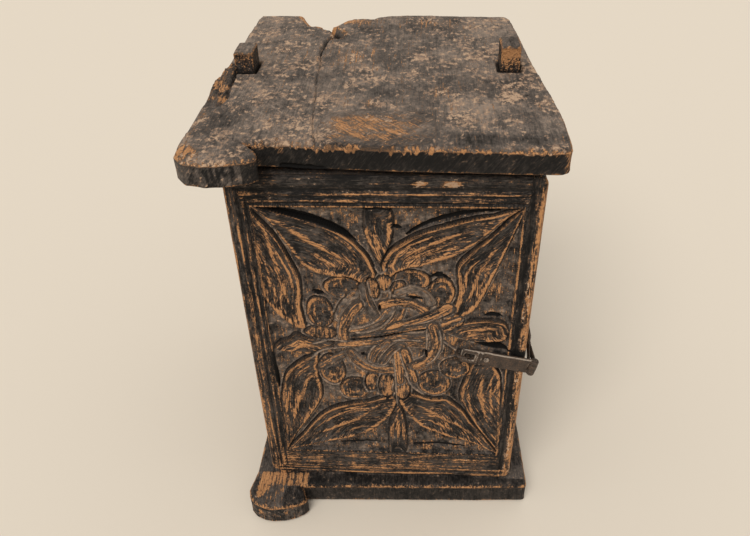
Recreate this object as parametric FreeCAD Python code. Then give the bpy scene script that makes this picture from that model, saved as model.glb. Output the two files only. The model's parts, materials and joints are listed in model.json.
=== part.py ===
"""Hand-hewn pivot-door chest, in millimetres.

X runs across the front from left to right with X = 0 at the middle of the door. Y runs from the
front to the back, with Y = 0 midway between the door's face and the back edges of the side
boards. Z = 0 is the underside of the base board, which the chest stands on.
"""
import FreeCAD, Part
import math
import os

# ---------------------------------------------------------------- driving dimensions

# door: one plank with its own wooden pintles, hung at its left edge
door_width = 276.0
door_height = 400.0
door_thickness = 28.0
door_gap_below = 4.0
door_gap_above = 6.0
door_gap_behind = 2.0
door_arris = 2.0
heel_radius = 13.0
pintle_inset = 13.0
pintle_radius = 11.0
pintle_depth_top = 16.0
pintle_depth_base = 20.0
pintle_end_clearance = 0.1
running_clearance = 0.1

# carcass boards
base_thickness = 32.0
top_thickness = 24.0
side_thickness = 24.0
side_depth = 278.0
side_left_proud_of_door = 10.0
side_right_inside_door = 7.0
back_thickness = 15.0
back_setback = 11.0
groove_depth = 6.0
groove_clearance = 0.2

# through tenons of the side boards
tenon_length_y = 28.0
tenon_thickness = 19.0
tenon_centre_y = 12.0
tenon_stand_left = 20.0
tenon_stand_right = 24.0
tenon_short_of_underside = 1.0
mortise_clearance = 0.15

# plan of the top board, as overhangs past the door or the side boards
top_front_over_left = -7.0
top_front_over_right = 7.0
top_right_over_front = 16.0
top_right_over_back = 1.5
top_left_over_front = 20.0
top_left_over_back = 8.0
top_back_over_left = 15.0
top_back_over_right = 4.0
top_left_bevel_width = 10.0
top_left_bevel_depth = 9.0
bite_from_left = 49.0
bite_width = 45.0
bite_depth = 44.0
bite_outline_shares = ((0.12, 0.35), (0.62, 1.0), (0.86, 0.66))

# plan of the base board, as overhangs past the door or the side boards
base_front_over_left = 14.0
base_front_over_right = 6.0
base_right_over_front = 21.0
base_right_over_back = 18.0
base_left_over_front = 9.0
base_left_over_back = 4.0
base_back_over = 4.0

# pivot lobes, as reaches from the pintle axis
top_lobe_left = 45.0
top_lobe_front = 43.0
top_lobe_right = 26.0
top_lobe_tip_y = 31.0
base_lobe_left = 38.5
base_lobe_front = 58.0
base_lobe_right = 32.0
base_lobe_tip_y = 42.0
top_lobe_hollow_run = 16.0
base_lobe_hollow_run = 8.0
board_corner_radius = 5.0

# curve of a pivot lobe, as shares of its reaches
lobe_shoulder_share = 0.8
lobe_nose_share = 0.2
lobe_left_cheek_shares = (0.74, 0.9)
lobe_right_cheek_shares = (0.55, 0.91)
lobe_hollow_bow_share = 0.12

# carved front of the door
frame_left = 20.0
frame_right = 15.0
frame_top = 26.0
frame_bottom = 40.0
relief_depth = 6.0
leaf_rise = 5.4
leaf_rim_share = 0.34
leaf_root_share = 0.1
leaf_tip_share = 0.1
leaf_hollow_depth = 2.0
petal_rise = 4.6
petal_radius = 13.5
knot_rise = 5.8
knot_ring_radius = 42.0
knot_ring_width = 13.0
knot_bar_width = 12.0
knot_bar_length = 100.0
knot_bar_rise = 5.0
tongue_width = 24.0
tongue_rise = 4.2
carving_root = 1.0
bead_groove_inset = 9.0
bead_groove_width = 2.2
bead_groove_depth = 1.4

# how far a cutting shape runs past the faces that it opens
cut_margin = 1.0

# iron hasp: flat strap on the door, folded arm along the right side
strap_slope = 12.0
strap_width = 18.0
strap_thickness = 3.2
strap_stand_off = 0.5
strap_reach = 72.0
strap_pivot_height = 199.0
strap_slot_length = 10.5
strap_slot_width = 8.0
end_bar_width = 3.8
end_bar_web_inset = 0.2
collar_from_pivot = 17.0
collar_width = 3.0
collar_rise = 0.8
collar_spacing = 4.0
barrel_radius = 4.3
barrel_gap = 8.0
barrel_end_clearance = 0.3
barrel_clear_of_door = 3.1
pin_radius = 1.5
pin_head_radius = 2.6
pin_head_height = 0.9
pin_fit = 0.05
rivet_from_pivot = 24.5
rivet_radius = 1.6
rivet_head_radius = 3.2
rivet_crown_radius = 1.8
rivet_head_height = 1.6

# folded arm of the hasp
arm_length = 72.0
arm_layer = 1.6
arm_fold_length = 28.0
arm_end_length = 36.0
arm_end_width = 15.0
arm_slot_length = 22.0
arm_slot_width = 8.0

# staples of round iron wire, driven through the wood and turned over inside
door_staple_wire = 2.6
door_staple_span = 10.0
side_staple_wire = 3.0
side_staple_span = 12.0
side_staple_lift = 0.9
staple_crown_clearance = 0.5
staple_bend_radius = 2.2
staple_hole_clearance = 0.05
clench_length = 9.0

# ---------------------------------------------------------------- places worked out

front_y = -(door_thickness + door_gap_behind + side_depth) / 2.0
door_back_y = front_y + door_thickness
side_front_y = door_back_y + door_gap_behind
side_back_y = side_front_y + side_depth
door_left_x = -door_width / 2.0
door_right_x = door_width / 2.0
door_bottom_z = base_thickness + door_gap_below
door_top_z = door_bottom_z + door_height
top_under_z = door_top_z + door_gap_above
top_z = top_under_z + top_thickness

left_outer_x = door_left_x - side_left_proud_of_door
left_inner_x = left_outer_x + side_thickness
right_outer_x = door_right_x - side_right_inside_door
right_inner_x = right_outer_x - side_thickness

pintle_x = door_left_x + pintle_inset
pintle_y = front_y + pintle_inset

back_rear_y = side_back_y - back_setback
back_front_y = back_rear_y - back_thickness


# how far the middle of a quarter arc lies from its corner along each side, as a share of its radius
quarter_arc_share = 1.0 - math.sqrt(0.5)


def vec(x, y, z=0.0):
    return FreeCAD.Vector(x, y, z)


def line(a, b):
    return Part.makeLine(a, b)


def arc(a, middle, b):
    return Part.Arc(a, middle, b).toShape()


def box(x0, x1, y0, y1, z0, z1):
    """A block between two opposite corners."""
    return Part.makeBox(x1 - x0, y1 - y0, z1 - z0, vec(x0, y0, z0))


def rod(start, direction, radius, length):
    return Part.makeCylinder(radius, length, start, direction)


def prism(edges, height):
    """Closed edges in a plane z = constant, raised by height."""
    return Part.Face(Part.Wire(edges)).extrude(vec(0, 0, height))


# ---------------------------------------------------------------- boards with pivot lobes


def lobed_outline(z, corners, lobe):
    """Plan of a board: four corners and the rounded pivot lobe at its front left."""
    back_left, back_right, front_right, notch, left_front = corners
    reach_left, reach_front, reach_right, tip_y = lobe
    left_share, left_front_share = lobe_left_cheek_shares
    right_share, right_front_share = lobe_right_cheek_shares
    bow = lobe_hollow_bow_share
    shoulder = vec(pintle_x - reach_left, pintle_y - tip_y * lobe_shoulder_share, z)
    nose = vec(pintle_x - reach_left * lobe_nose_share, pintle_y - reach_front, z)
    tip = vec(pintle_x + reach_right, pintle_y - tip_y, z)
    cheek_left = vec(
        pintle_x - reach_left * left_share, pintle_y - reach_front * left_front_share, z
    )
    cheek_right = vec(
        pintle_x + reach_right * right_share, pintle_y - reach_front * right_front_share, z
    )
    hollow = vec(
        (tip.x + notch.x) / 2.0 - (tip.x - notch.x) * bow,
        (tip.y + notch.y) / 2.0 + (tip.y - notch.y) * bow,
        z,
    )
    return [
        line(left_front, shoulder),
        arc(shoulder, cheek_left, nose),
        arc(nose, cheek_right, tip),
        arc(tip, hollow, notch),
        line(notch, front_right),
        line(front_right, back_right),
        line(back_right, back_left),
        line(back_left, left_front),
    ]


def round_corner(solid, x, y, radius):
    """Rounds the upright edge that stands at x, y."""
    edges = [
        e
        for e in solid.Edges
        if abs(e.BoundBox.ZLength - solid.BoundBox.ZLength) < 0.01
        and abs(e.BoundBox.XMin - x) < 0.01
        and abs(e.BoundBox.YMin - y) < 0.01
    ]
    return solid.makeFillet(radius, edges)


def mortises(z0, z1):
    """Through mortises that take both side boards' tenons."""
    c = mortise_clearance
    y0 = tenon_centre_y - tenon_length_y / 2.0 - c
    y1 = tenon_centre_y + tenon_length_y / 2.0 + c
    left = box(left_outer_x - c, left_outer_x + tenon_thickness + c, y0, y1, z0, z1)
    right = box(right_inner_x - c, right_inner_x + tenon_thickness + c, y0, y1, z0, z1)
    return left.fuse(right)


def back_groove(z0, z1):
    """Groove for the back board's end, between the two side boards' grooves."""
    x0 = left_inner_x - groove_depth
    x1 = right_inner_x + groove_depth
    c = groove_clearance
    return box(x0, x1, back_front_y - c, back_rear_y + c, z0, z1)


def make_base_board():
    corners = (
        vec(left_outer_x - base_left_over_back, side_back_y + base_back_over),
        vec(right_outer_x + base_right_over_back, side_back_y + base_back_over),
        vec(door_right_x + base_right_over_front, front_y - base_front_over_right),
        vec(pintle_x + base_lobe_right - base_lobe_hollow_run, front_y - base_front_over_left),
        vec(left_outer_x - base_left_over_front, front_y),
    )
    lobe = (base_lobe_left, base_lobe_front, base_lobe_right, base_lobe_tip_y)
    board = prism(lobed_outline(0.0, corners, lobe), base_thickness)
    board = round_corner(board, corners[2].x, corners[2].y, board_corner_radius)
    board = board.cut(mortises(0.0, base_thickness))
    board = board.cut(back_groove(base_thickness - groove_depth, base_thickness))
    socket = rod(
        vec(pintle_x, pintle_y, base_thickness - pintle_depth_base),
        vec(0, 0, 1),
        pintle_radius + running_clearance,
        pintle_depth_base,
    )
    return board.cut(socket)


def broken_bite(back_left):
    """Piece broken out of the top board's back edge."""
    x0 = back_left.x + bite_from_left
    y0 = back_left.y
    reach = top_back_over_left
    points = [vec(x0, y0 + reach, top_under_z)]
    for across, deep in bite_outline_shares:
        points.append(vec(x0 + bite_width * across, y0 - bite_depth * deep, top_under_z))
    points.append(vec(x0 + bite_width, y0 + reach, top_under_z))
    edges = [line(a, b) for a, b in zip(points, points[1:] + points[:1])]
    return prism(edges, top_thickness)


def left_bevel(back_left, front_left):
    """Split-off upper arris along the top board's left edge."""
    reach = top_left_over_front
    z0 = top_z - top_left_bevel_depth
    profile = [
        vec(back_left.x, back_left.y + reach, z0),
        vec(back_left.x + top_left_bevel_width, back_left.y + reach, top_z),
        vec(back_left.x - reach, back_left.y + reach, top_z),
        vec(back_left.x - reach, back_left.y + reach, z0),
    ]
    edges = [line(a, b) for a, b in zip(profile, profile[1:] + profile[:1])]
    run = vec(front_left.x - back_left.x, front_left.y - back_left.y - reach, 0)
    return Part.Face(Part.Wire(edges)).extrude(run)


def make_top_board():
    corners = (
        vec(left_outer_x - top_left_over_back, side_back_y + top_back_over_left, top_under_z),
        vec(right_outer_x + top_right_over_back, side_back_y + top_back_over_right, top_under_z),
        vec(door_right_x + top_right_over_front, front_y - top_front_over_right, top_under_z),
        vec(
            pintle_x + top_lobe_right - top_lobe_hollow_run,
            front_y - top_front_over_left,
            top_under_z,
        ),
        vec(left_outer_x - top_left_over_front, pintle_y + pintle_radius, top_under_z),
    )
    lobe = (top_lobe_left, top_lobe_front, top_lobe_right, top_lobe_tip_y)
    board = prism(lobed_outline(top_under_z, corners, lobe), top_thickness)
    board = board.cut(broken_bite(corners[0]))
    board = board.cut(left_bevel(corners[0], corners[4]))
    board = board.cut(mortises(top_under_z, top_z))
    board = board.cut(back_groove(top_under_z, top_under_z + groove_depth))
    socket = rod(
        vec(pintle_x, pintle_y, top_under_z),
        vec(0, 0, 1),
        pintle_radius + running_clearance,
        pintle_depth_top,
    )
    return board.cut(socket)


# ---------------------------------------------------------------- side and back boards


def make_side_board(x0, x1, tenon_x0, stand, inner_x):
    """Side board with its two tenons and the groove that holds the back board."""
    board = box(x0, x1, side_front_y, side_back_y, base_thickness, top_under_z)
    y0 = tenon_centre_y - tenon_length_y / 2.0
    y1 = tenon_centre_y + tenon_length_y / 2.0
    z0 = tenon_short_of_underside
    z1 = top_z + stand
    board = board.fuse(box(tenon_x0, tenon_x0 + tenon_thickness, y0, y1, z0, z1))
    groove = box(
        inner_x - groove_depth,
        inner_x + groove_depth,
        back_front_y - groove_clearance,
        back_rear_y + groove_clearance,
        base_thickness,
        top_under_z,
    )
    return board.cut(groove).removeSplitter()


def make_back_board():
    play = groove_depth - groove_clearance
    return box(
        left_inner_x - play,
        right_inner_x + play,
        back_front_y,
        back_rear_y,
        base_thickness - play,
        top_under_z + play,
    )


# ---------------------------------------------------------------- carved door

panel_x0 = door_left_x + frame_left
panel_x1 = door_right_x - frame_right
panel_z0 = door_bottom_z + frame_bottom
panel_z1 = door_top_z - frame_top

# Leaves: root, tip and two edges of three points each, as shares of the panel's width from its
# left and of its height from its top. The roots lie just outside the panel's corners.
leaves = (
    ((-0.02, -0.015), (0.475, 0.24), ((0.15, 0.02), (0.33, 0.08), (0.43, 0.16)),
     ((0.08, 0.10), (0.16, 0.18), (0.32, 0.24))),
    ((1.02, -0.01), (0.465, 0.24), ((0.76, 0.04), (0.59, 0.09), (0.50, 0.15)),
     ((0.89, 0.10), (0.76, 0.18), (0.61, 0.22))),
    ((-0.02, -0.015), (0.16, 0.45), ((0.08, 0.11), (0.17, 0.23), (0.18, 0.35)),
     ((0.01, 0.15), (0.01, 0.32), (0.07, 0.39))),
    ((1.02, -0.01), (0.76, 0.42), ((0.87, 0.13), (0.77, 0.21), (0.75, 0.33)),
     ((0.98, 0.11), (0.94, 0.23), (0.86, 0.34))),
    ((-0.02, 1.015), (0.20, 0.55), ((0.01, 0.79), (0.04, 0.64), (0.10, 0.58)),
     ((0.14, 0.85), (0.20, 0.74), (0.21, 0.63))),
    ((-0.02, 1.015), (0.535, 0.74), ((0.14, 0.85), (0.29, 0.755), (0.43, 0.73)),
     ((0.15, 0.96), (0.33, 0.91), (0.46, 0.84))),
    ((1.02, 1.015), (0.515, 0.74), ((0.90, 0.875), (0.82, 0.78), (0.66, 0.72)),
     ((0.84, 0.95), (0.69, 0.90), (0.58, 0.825))),
    ((1.02, 1.015), (0.89, 0.56), ((0.90, 0.875), (0.805, 0.76), (0.79, 0.66)),
     ((0.995, 0.89), (0.99, 0.77), (0.965, 0.63))),
)

# Round petals about the knot, by their centres.
petals = (
    (0.30, 0.28), (0.21, 0.36), (0.61, 0.25), (0.71, 0.29),
    (0.26, 0.63), (0.36, 0.70), (0.76, 0.59), (0.68, 0.67),
)

# Tongues that point from the middle of each side to the knot: outer end and inner end.
tongues = (
    ((0.46, 0.01), (0.46, 0.23)),
    ((0.53, 0.99), (0.53, 0.76)),
    ((0.02, 0.51), (0.29, 0.49)),
    ((0.98, 0.44), (0.71, 0.44)),
)

knot_centre = (0.50, 0.49)
knot_bar_angles = (8.0, 84.0, 128.0)


def on_panel(share):
    """Point just below the carved ground for a share of the panel's width and height."""
    x = panel_x0 + share[0] * (panel_x1 - panel_x0)
    z = panel_z1 - share[1] * (panel_z1 - panel_z0)
    return vec(x, front_y + relief_depth + carving_root, z)


def edge_curve(points):
    curve = Part.BSplineCurve()
    curve.interpolate(points)
    return curve.toShape()


def raised(wire, rise):
    """Part of the carving, raised from its root to a height above the ground."""
    return Part.Face(wire).extrude(vec(0, -rise - carving_root, 0))


def between(a, b, share):
    """Point that lies a share of the way from a to b."""
    return tuple(p + (q - p) * share for p, q in zip(a, b))


def leaf_wire(root, tip, edge_a, edge_b):
    one = [on_panel(p) for p in (root,) + edge_a + (tip,)]
    other = [on_panel(p) for p in (root,) + edge_b + (tip,)]
    return Part.Wire([edge_curve(one), edge_curve(other)])


def make_leaf(root, tip, edge_a, edge_b):
    return raised(leaf_wire(root, tip, edge_a, edge_b), leaf_rise)


def make_leaf_hollow(root, tip, edge_a, edge_b):
    """Hollow inside a leaf's raised rim, sunk from the top of the leaf."""
    inner_a = tuple(between(a, b, leaf_rim_share / 2.0) for a, b in zip(edge_a, edge_b))
    inner_b = tuple(between(b, a, leaf_rim_share / 2.0) for a, b in zip(edge_a, edge_b))
    inner_root = between(root, tip, leaf_root_share)
    inner_tip = between(tip, root, leaf_tip_share)
    wire = leaf_wire(inner_root, inner_tip, inner_a, inner_b)
    wire.translate(vec(0, leaf_hollow_depth - leaf_rise - carving_root, 0))
    return raised(wire, leaf_rise)


def make_disc(centre, radius, rise):
    return rod(centre, vec(0, -1, 0), radius, rise + carving_root)


def make_bar(start, end, width, rise):
    """Straight band with rounded ends between two points of the ground."""
    along = end.sub(start)
    along.normalize()
    side = vec(along.z, 0, -along.x).multiply(width / 2.0)
    tip = vec(along.x, 0, along.z).multiply(width / 2.0)
    wire = Part.Wire([
        line(start.add(side), end.add(side)),
        arc(end.add(side), end.add(tip), end.sub(side)),
        line(end.sub(side), start.sub(side)),
        arc(start.sub(side), start.sub(tip), start.add(side)),
    ])
    return raised(wire, rise)


def make_knot():
    """Ring and crossing bars at the middle of the carving."""
    centre = on_panel(knot_centre)
    ring = make_disc(centre, knot_ring_radius, knot_rise)
    ring = ring.cut(make_disc(centre, knot_ring_radius - knot_ring_width, knot_rise))
    for angle in knot_bar_angles:
        half = vec(math.cos(math.radians(angle)), 0, math.sin(math.radians(angle)))
        half.multiply(knot_bar_length / 2.0)
        ring = ring.fuse(
            make_bar(centre.sub(half), centre.add(half), knot_bar_width, knot_bar_rise)
        )
    return ring


def make_carving():
    pieces = [make_leaf(*leaf).cut(make_leaf_hollow(*leaf)) for leaf in leaves]
    pieces += [make_disc(on_panel(p), petal_radius, petal_rise) for p in petals]
    for outer, inner in tongues:
        pieces.append(make_bar(on_panel(outer), on_panel(inner), tongue_width, tongue_rise))
    pieces.append(make_knot())
    return pieces


def frame_groove():
    """Shallow line that sets off the bead round the carved panel."""
    a = bead_groove_inset
    b = bead_groove_inset - bead_groove_width
    y0 = front_y - cut_margin
    y1 = front_y + bead_groove_depth
    outer = box(panel_x0 - a, panel_x1 + a, y0, y1, panel_z0 - a, panel_z1 + a)
    inner = box(panel_x0 - b, panel_x1 + b, y0, y1, panel_z0 - b, panel_z1 + b)
    return outer.cut(inner)


def door_plan():
    """Plan of the plank: square front arrises eased, heel rounded about the pintles."""
    z = door_bottom_z
    r = heel_radius
    e = door_arris
    k = quarter_arc_share
    return [
        line(vec(door_left_x + e, front_y, z), vec(door_right_x - e, front_y, z)),
        arc(
            vec(door_right_x - e, front_y, z),
            vec(door_right_x - e * k, front_y + e * k, z),
            vec(door_right_x, front_y + e, z),
        ),
        line(vec(door_right_x, front_y + e, z), vec(door_right_x, door_back_y, z)),
        line(vec(door_right_x, door_back_y, z), vec(door_left_x + r, door_back_y, z)),
        arc(
            vec(door_left_x + r, door_back_y, z),
            vec(door_left_x + r * k, door_back_y - r * k, z),
            vec(door_left_x, door_back_y - r, z),
        ),
        line(vec(door_left_x, door_back_y - r, z), vec(door_left_x, front_y + e, z)),
        arc(
            vec(door_left_x, front_y + e, z),
            vec(door_left_x + e * k, front_y + e * k, z),
            vec(door_left_x + e, front_y, z),
        ),
    ]


def make_door():
    plank = prism(door_plan(), door_height)
    ground = box(
        panel_x0, panel_x1, front_y - relief_depth, front_y + relief_depth, panel_z0, panel_z1
    )
    plank = plank.cut(ground)
    for piece in make_carving():
        plank = plank.fuse(piece)
    plank = plank.cut(frame_groove())
    top_end = top_under_z + pintle_depth_top - pintle_end_clearance
    base_end = base_thickness - pintle_depth_base + pintle_end_clearance
    for z0, z1 in ((door_top_z, top_end), (base_end, door_bottom_z)):
        plank = plank.fuse(rod(vec(pintle_x, pintle_y, z0), vec(0, 0, 1), pintle_radius, z1 - z0))
    plank = plank.removeSplitter()
    for s in (-door_staple_span / 2.0, door_staple_span / 2.0):
        plank = plank.cut(staple_hole(hasp_point(s, 0.0, 0.0), vec(0, 1, 0), door_staple_wire))
    return plank


# ---------------------------------------------------------------- hasp

slope = math.radians(strap_slope)
strap_along = vec(math.cos(slope), 0, -math.sin(slope))
strap_across = vec(math.sin(slope), 0, math.cos(slope))
strap_mid = strap_stand_off + strap_thickness / 2.0
knuckle_x = door_right_x + barrel_clear_of_door + barrel_radius
hasp_pivot_x = knuckle_x - strap_reach * strap_along.x
hasp_pivot_z = door_bottom_z + strap_pivot_height


def hasp_point(s, t, h):
    """Point s along the strap from its pivot, t across it and h in front of the door's face."""
    p = vec(hasp_pivot_x, front_y - h, hasp_pivot_z)
    p = p.add(vec(strap_along.x, 0, strap_along.z).multiply(s))
    return p.add(vec(strap_across.x, 0, strap_across.z).multiply(t))


def hasp_block(s0, s1, t0, t1, h0, h1):
    corners = [hasp_point(s, t, h0) for s, t in ((s0, t0), (s1, t0), (s1, t1), (s0, t1))]
    edges = [line(a, b) for a, b in zip(corners, corners[1:] + corners[:1])]
    return Part.Face(Part.Wire(edges)).extrude(vec(0, h0 - h1, 0))


def hasp_rod(s, t0, t1, radius):
    """Cylinder that lies across the strap, at its mid thickness."""
    start = hasp_point(s, t0, strap_mid)
    return rod(start, vec(strap_across.x, 0, strap_across.z), radius, t1 - t0)


def make_hasp_strap():
    half = strap_width / 2.0
    h0 = strap_stand_off
    h1 = strap_stand_off + strap_thickness
    bar = end_bar_width / 2.0
    slot_end = bar + strap_slot_length
    web = end_bar_web_inset
    margin = cut_margin
    strap = hasp_block(bar, strap_reach, -half, half, h0, h1)
    strap = strap.fuse(hasp_rod(0.0, -half, half, bar))
    strap = strap.fuse(hasp_block(0.0, end_bar_width, -half, half, h0 + web, h1 - web))
    slot_half = strap_slot_width / 2.0
    strap = strap.cut(
        hasp_block(bar, slot_end, -slot_half, slot_half, h0 - margin, h1 + margin)
    )
    for k in (0, 1):
        s = collar_from_pivot + k * collar_spacing - collar_spacing / 2.0
        strap = strap.fuse(
            hasp_block(s - collar_width / 2.0, s + collar_width / 2.0, -half, half,
                       h1, h1 + collar_rise)
        )
    strap = strap.fuse(hasp_rod(strap_reach, -half, half, barrel_radius))
    gap = barrel_gap / 2.0
    room = barrel_radius + barrel_end_clearance
    strap = strap.cut(
        hasp_block(strap_reach - room, strap_reach + room, -gap, gap,
                   strap_mid - room, strap_mid + room)
    )
    strap = strap.cut(hasp_rod(strap_reach, -half, half, pin_radius + pin_fit))
    hole = rod(
        hasp_point(rivet_from_pivot, 0.0, h1), vec(0, 1, 0), rivet_radius, strap_thickness
    )
    return strap.cut(hole).removeSplitter()


def make_hasp_rivet():
    """Peened rivet through the strap, where its folded tail is closed."""
    face = hasp_point(rivet_from_pivot, 0.0, strap_stand_off + strap_thickness)
    head = Part.makeCone(
        rivet_head_radius, rivet_crown_radius, rivet_head_height, face, vec(0, -1, 0)
    )
    shank = rod(face, vec(0, 1, 0), rivet_radius, strap_thickness)
    return head.fuse(shank).removeSplitter()


def make_hasp_pin():
    half = strap_width / 2.0
    end = half + pin_fit
    pin = hasp_rod(strap_reach, -end, end, pin_radius)
    pin = pin.fuse(hasp_rod(strap_reach, end, end + pin_head_height, pin_head_radius))
    pin = pin.fuse(hasp_rod(strap_reach, -end - pin_head_height, -end, pin_head_radius))
    return pin.removeSplitter()


def arm_block(r0, r1, t0, t1, w0, w1):
    """Block on the arm: r behind the knuckle's axis, t across, w outwards from its middle."""
    corners = []
    for w, t in ((w0, t0), (w1, t0), (w1, t1), (w0, t1)):
        p = hasp_point(strap_reach + w, t, strap_mid)
        corners.append(vec(p.x, p.y + r0, p.z))
    edges = [line(a, b) for a, b in zip(corners, corners[1:] + corners[:1])]
    return Part.Face(Part.Wire(edges)).extrude(vec(0, r1 - r0, 0))


def make_hasp_arm():
    """Strip folded round the pin, its two layers closing to a slotted end."""
    t = barrel_gap / 2.0 - barrel_end_clearance
    eye = hasp_rod(strap_reach, -t, t, barrel_radius)
    spread = barrel_radius - arm_layer
    arm = eye
    for side in (-1.0, 1.0):
        near = [
            (spread * side, 0.0), ((spread + arm_layer) * side, 0.0),
            (arm_layer * side, arm_fold_length), (0.0, arm_fold_length),
        ]
        corners = []
        for w, r in near:
            p = hasp_point(strap_reach + w, -t, strap_mid)
            corners.append(vec(p.x, p.y + r, p.z))
        edges = [line(a, b) for a, b in zip(corners, corners[1:] + corners[:1])]
        run = vec(strap_across.x, 0, strap_across.z).multiply(2.0 * t)
        arm = arm.fuse(Part.Face(Part.Wire(edges)).extrude(run))
    arm = arm.fuse(
        arm_block(arm_fold_length, arm_length - arm_end_length, -t, t, -arm_layer, arm_layer)
    )
    half = arm_end_width / 2.0
    arm = arm.fuse(
        arm_block(arm_length - arm_end_length, arm_length, -half, half, -arm_layer, arm_layer)
    )
    margin = (arm_end_length - arm_slot_length) / 2.0
    arm = arm.cut(
        arm_block(
            arm_length - arm_end_length + margin,
            arm_length - margin,
            -arm_slot_width / 2.0,
            arm_slot_width / 2.0,
            -arm_layer - cut_margin,
            arm_layer + cut_margin,
        )
    )
    arm = arm.cut(hasp_rod(strap_reach, -t, t, pin_radius + pin_fit))
    return arm.removeSplitter()


# ---------------------------------------------------------------- staples


def staple_hole(start, inward, wire):
    """Bore for one staple leg through a board, from its outer face."""
    reach = door_thickness + side_thickness
    back = vec(inward.x, inward.y, inward.z).multiply(-cut_margin)
    return rod(start.add(back), inward, wire / 2.0 + staple_hole_clearance, reach)


def make_staple(foot_a, foot_b, inward, stand, board_thickness, wire):
    """Wire staple with its crown at stand from the board, and both ends turned apart inside."""
    apart = foot_b.sub(foot_a)
    span = apart.Length
    apart.normalize()
    bend = staple_bend_radius
    inside = board_thickness + bend

    def at(along, depth):
        p = foot_a.add(vec(apart.x, apart.y, apart.z).multiply(along))
        return p.add(vec(inward.x, inward.y, inward.z).multiply(depth))

    k = bend * quarter_arc_share
    crown = wire / 2.0 - stand
    edges = [
        line(at(-clench_length, inside), at(-bend, inside)),
        arc(at(-bend, inside), at(-k, inside - k), at(0.0, inside - bend)),
        line(at(0.0, inside - bend), at(0.0, crown + bend)),
        arc(at(0.0, crown + bend), at(k, crown + k), at(bend, crown)),
        line(at(bend, crown), at(span - bend, crown)),
        arc(at(span - bend, crown), at(span - k, crown + k), at(span, crown + bend)),
        line(at(span, crown + bend), at(span, inside - bend)),
        arc(at(span, inside - bend), at(span + k, inside - k), at(span + bend, inside)),
        line(at(span + bend, inside), at(span + clench_length, inside)),
    ]
    section = Part.Wire(
        Part.Circle(at(-clench_length, inside), apart, wire / 2.0).toShape()
    )
    return Part.Wire(edges).makePipeShell([section], True, False)


def make_door_staple():
    half = door_staple_span / 2.0
    swing = strap_mid + end_bar_width / 2.0
    stand = swing + staple_crown_clearance + door_staple_wire
    return make_staple(
        hasp_point(-half, 0.0, 0.0),
        hasp_point(half, 0.0, 0.0),
        vec(0, 1, 0),
        stand,
        door_thickness,
        door_staple_wire,
    )


def side_staple_foot(offset):
    """Foot of a side staple leg, offset along Y from the middle of the arm's slot."""
    knuckle = hasp_point(strap_reach, 0.0, strap_mid)
    slot_middle = arm_length - arm_end_length / 2.0
    return vec(right_outer_x, knuckle.y + slot_middle + offset, knuckle.z + side_staple_lift)


def make_side_staple():
    half = side_staple_span / 2.0
    knuckle = hasp_point(strap_reach, 0.0, strap_mid)
    stand = knuckle.x - arm_layer - staple_crown_clearance - right_outer_x
    return make_staple(
        side_staple_foot(-half),
        side_staple_foot(half),
        vec(-1, 0, 0),
        stand,
        side_thickness,
        side_staple_wire,
    )


# ---------------------------------------------------------------- assembly


def make_right_side_board():
    board = make_side_board(
        right_inner_x, right_outer_x, right_inner_x, tenon_stand_right, right_inner_x
    )
    half = side_staple_span / 2.0
    for offset in (-half, half):
        board = board.cut(staple_hole(side_staple_foot(offset), vec(-1, 0, 0), side_staple_wire))
    return board


def make_left_side_board():
    return make_side_board(
        left_outer_x, left_inner_x, left_outer_x, tenon_stand_left, left_inner_x
    )


nodes = {
    "base_board": make_base_board,
    "top_board": make_top_board,
    "side_board_left": make_left_side_board,
    "side_board_right": make_right_side_board,
    "back_board": make_back_board,
    "door": make_door,
    "door_staple": make_door_staple,
    "side_staple": make_side_staple,
    "hasp_strap": make_hasp_strap,
    "hasp_rivet": make_hasp_rivet,
    "hasp_pin": make_hasp_pin,
    "hasp_arm": make_hasp_arm,
}

os.makedirs("parts", exist_ok=True)
for name, make in nodes.items():
    shape = make()
    solids = shape.Solids
    print(f"{name}: solids {len(solids)}, volume {shape.Volume / 1000.0:.1f} cm3, "
          f"valid {shape.isValid()}")
    shape = solids[0] if len(solids) == 1 else shape
    shape.exportStep(f"parts/{name}.step")
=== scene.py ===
"""Looks of the hand-hewn pivot-door chest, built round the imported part.

Shapes are worked out in millimetres in the part's own frame and written in metres.
"""
import functools
import json
import math

import bmesh
import bpy
import numpy as np
from mathutils import Matrix, Vector


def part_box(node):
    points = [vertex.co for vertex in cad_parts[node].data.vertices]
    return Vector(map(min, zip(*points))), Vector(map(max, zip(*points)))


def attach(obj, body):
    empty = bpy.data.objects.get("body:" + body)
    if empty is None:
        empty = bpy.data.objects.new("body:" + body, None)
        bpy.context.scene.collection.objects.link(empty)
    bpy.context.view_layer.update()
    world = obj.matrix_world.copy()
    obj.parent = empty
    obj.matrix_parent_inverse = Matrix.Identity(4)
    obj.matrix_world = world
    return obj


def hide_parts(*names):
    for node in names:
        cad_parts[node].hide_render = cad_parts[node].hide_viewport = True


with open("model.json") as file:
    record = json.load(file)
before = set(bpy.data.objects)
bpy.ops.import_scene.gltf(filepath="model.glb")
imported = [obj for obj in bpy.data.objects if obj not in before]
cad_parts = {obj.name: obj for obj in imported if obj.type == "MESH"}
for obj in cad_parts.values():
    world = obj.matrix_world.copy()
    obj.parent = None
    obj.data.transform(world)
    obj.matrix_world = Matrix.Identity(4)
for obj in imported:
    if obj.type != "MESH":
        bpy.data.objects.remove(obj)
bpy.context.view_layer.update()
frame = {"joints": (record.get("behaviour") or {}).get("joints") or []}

MM = 0.001


def box_mm(node):
    """Lowest and highest corner of a node in millimetres."""
    low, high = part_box(node)
    return np.array(low) / MM, np.array(high) / MM


joints = {j["name"]: j for j in frame["joints"]}


def joint_mm(name):
    """A joint's point in millimetres."""
    return np.array(joints[name]["pos_m"]) / MM


# ---------------------------------------------------------------- noise


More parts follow.
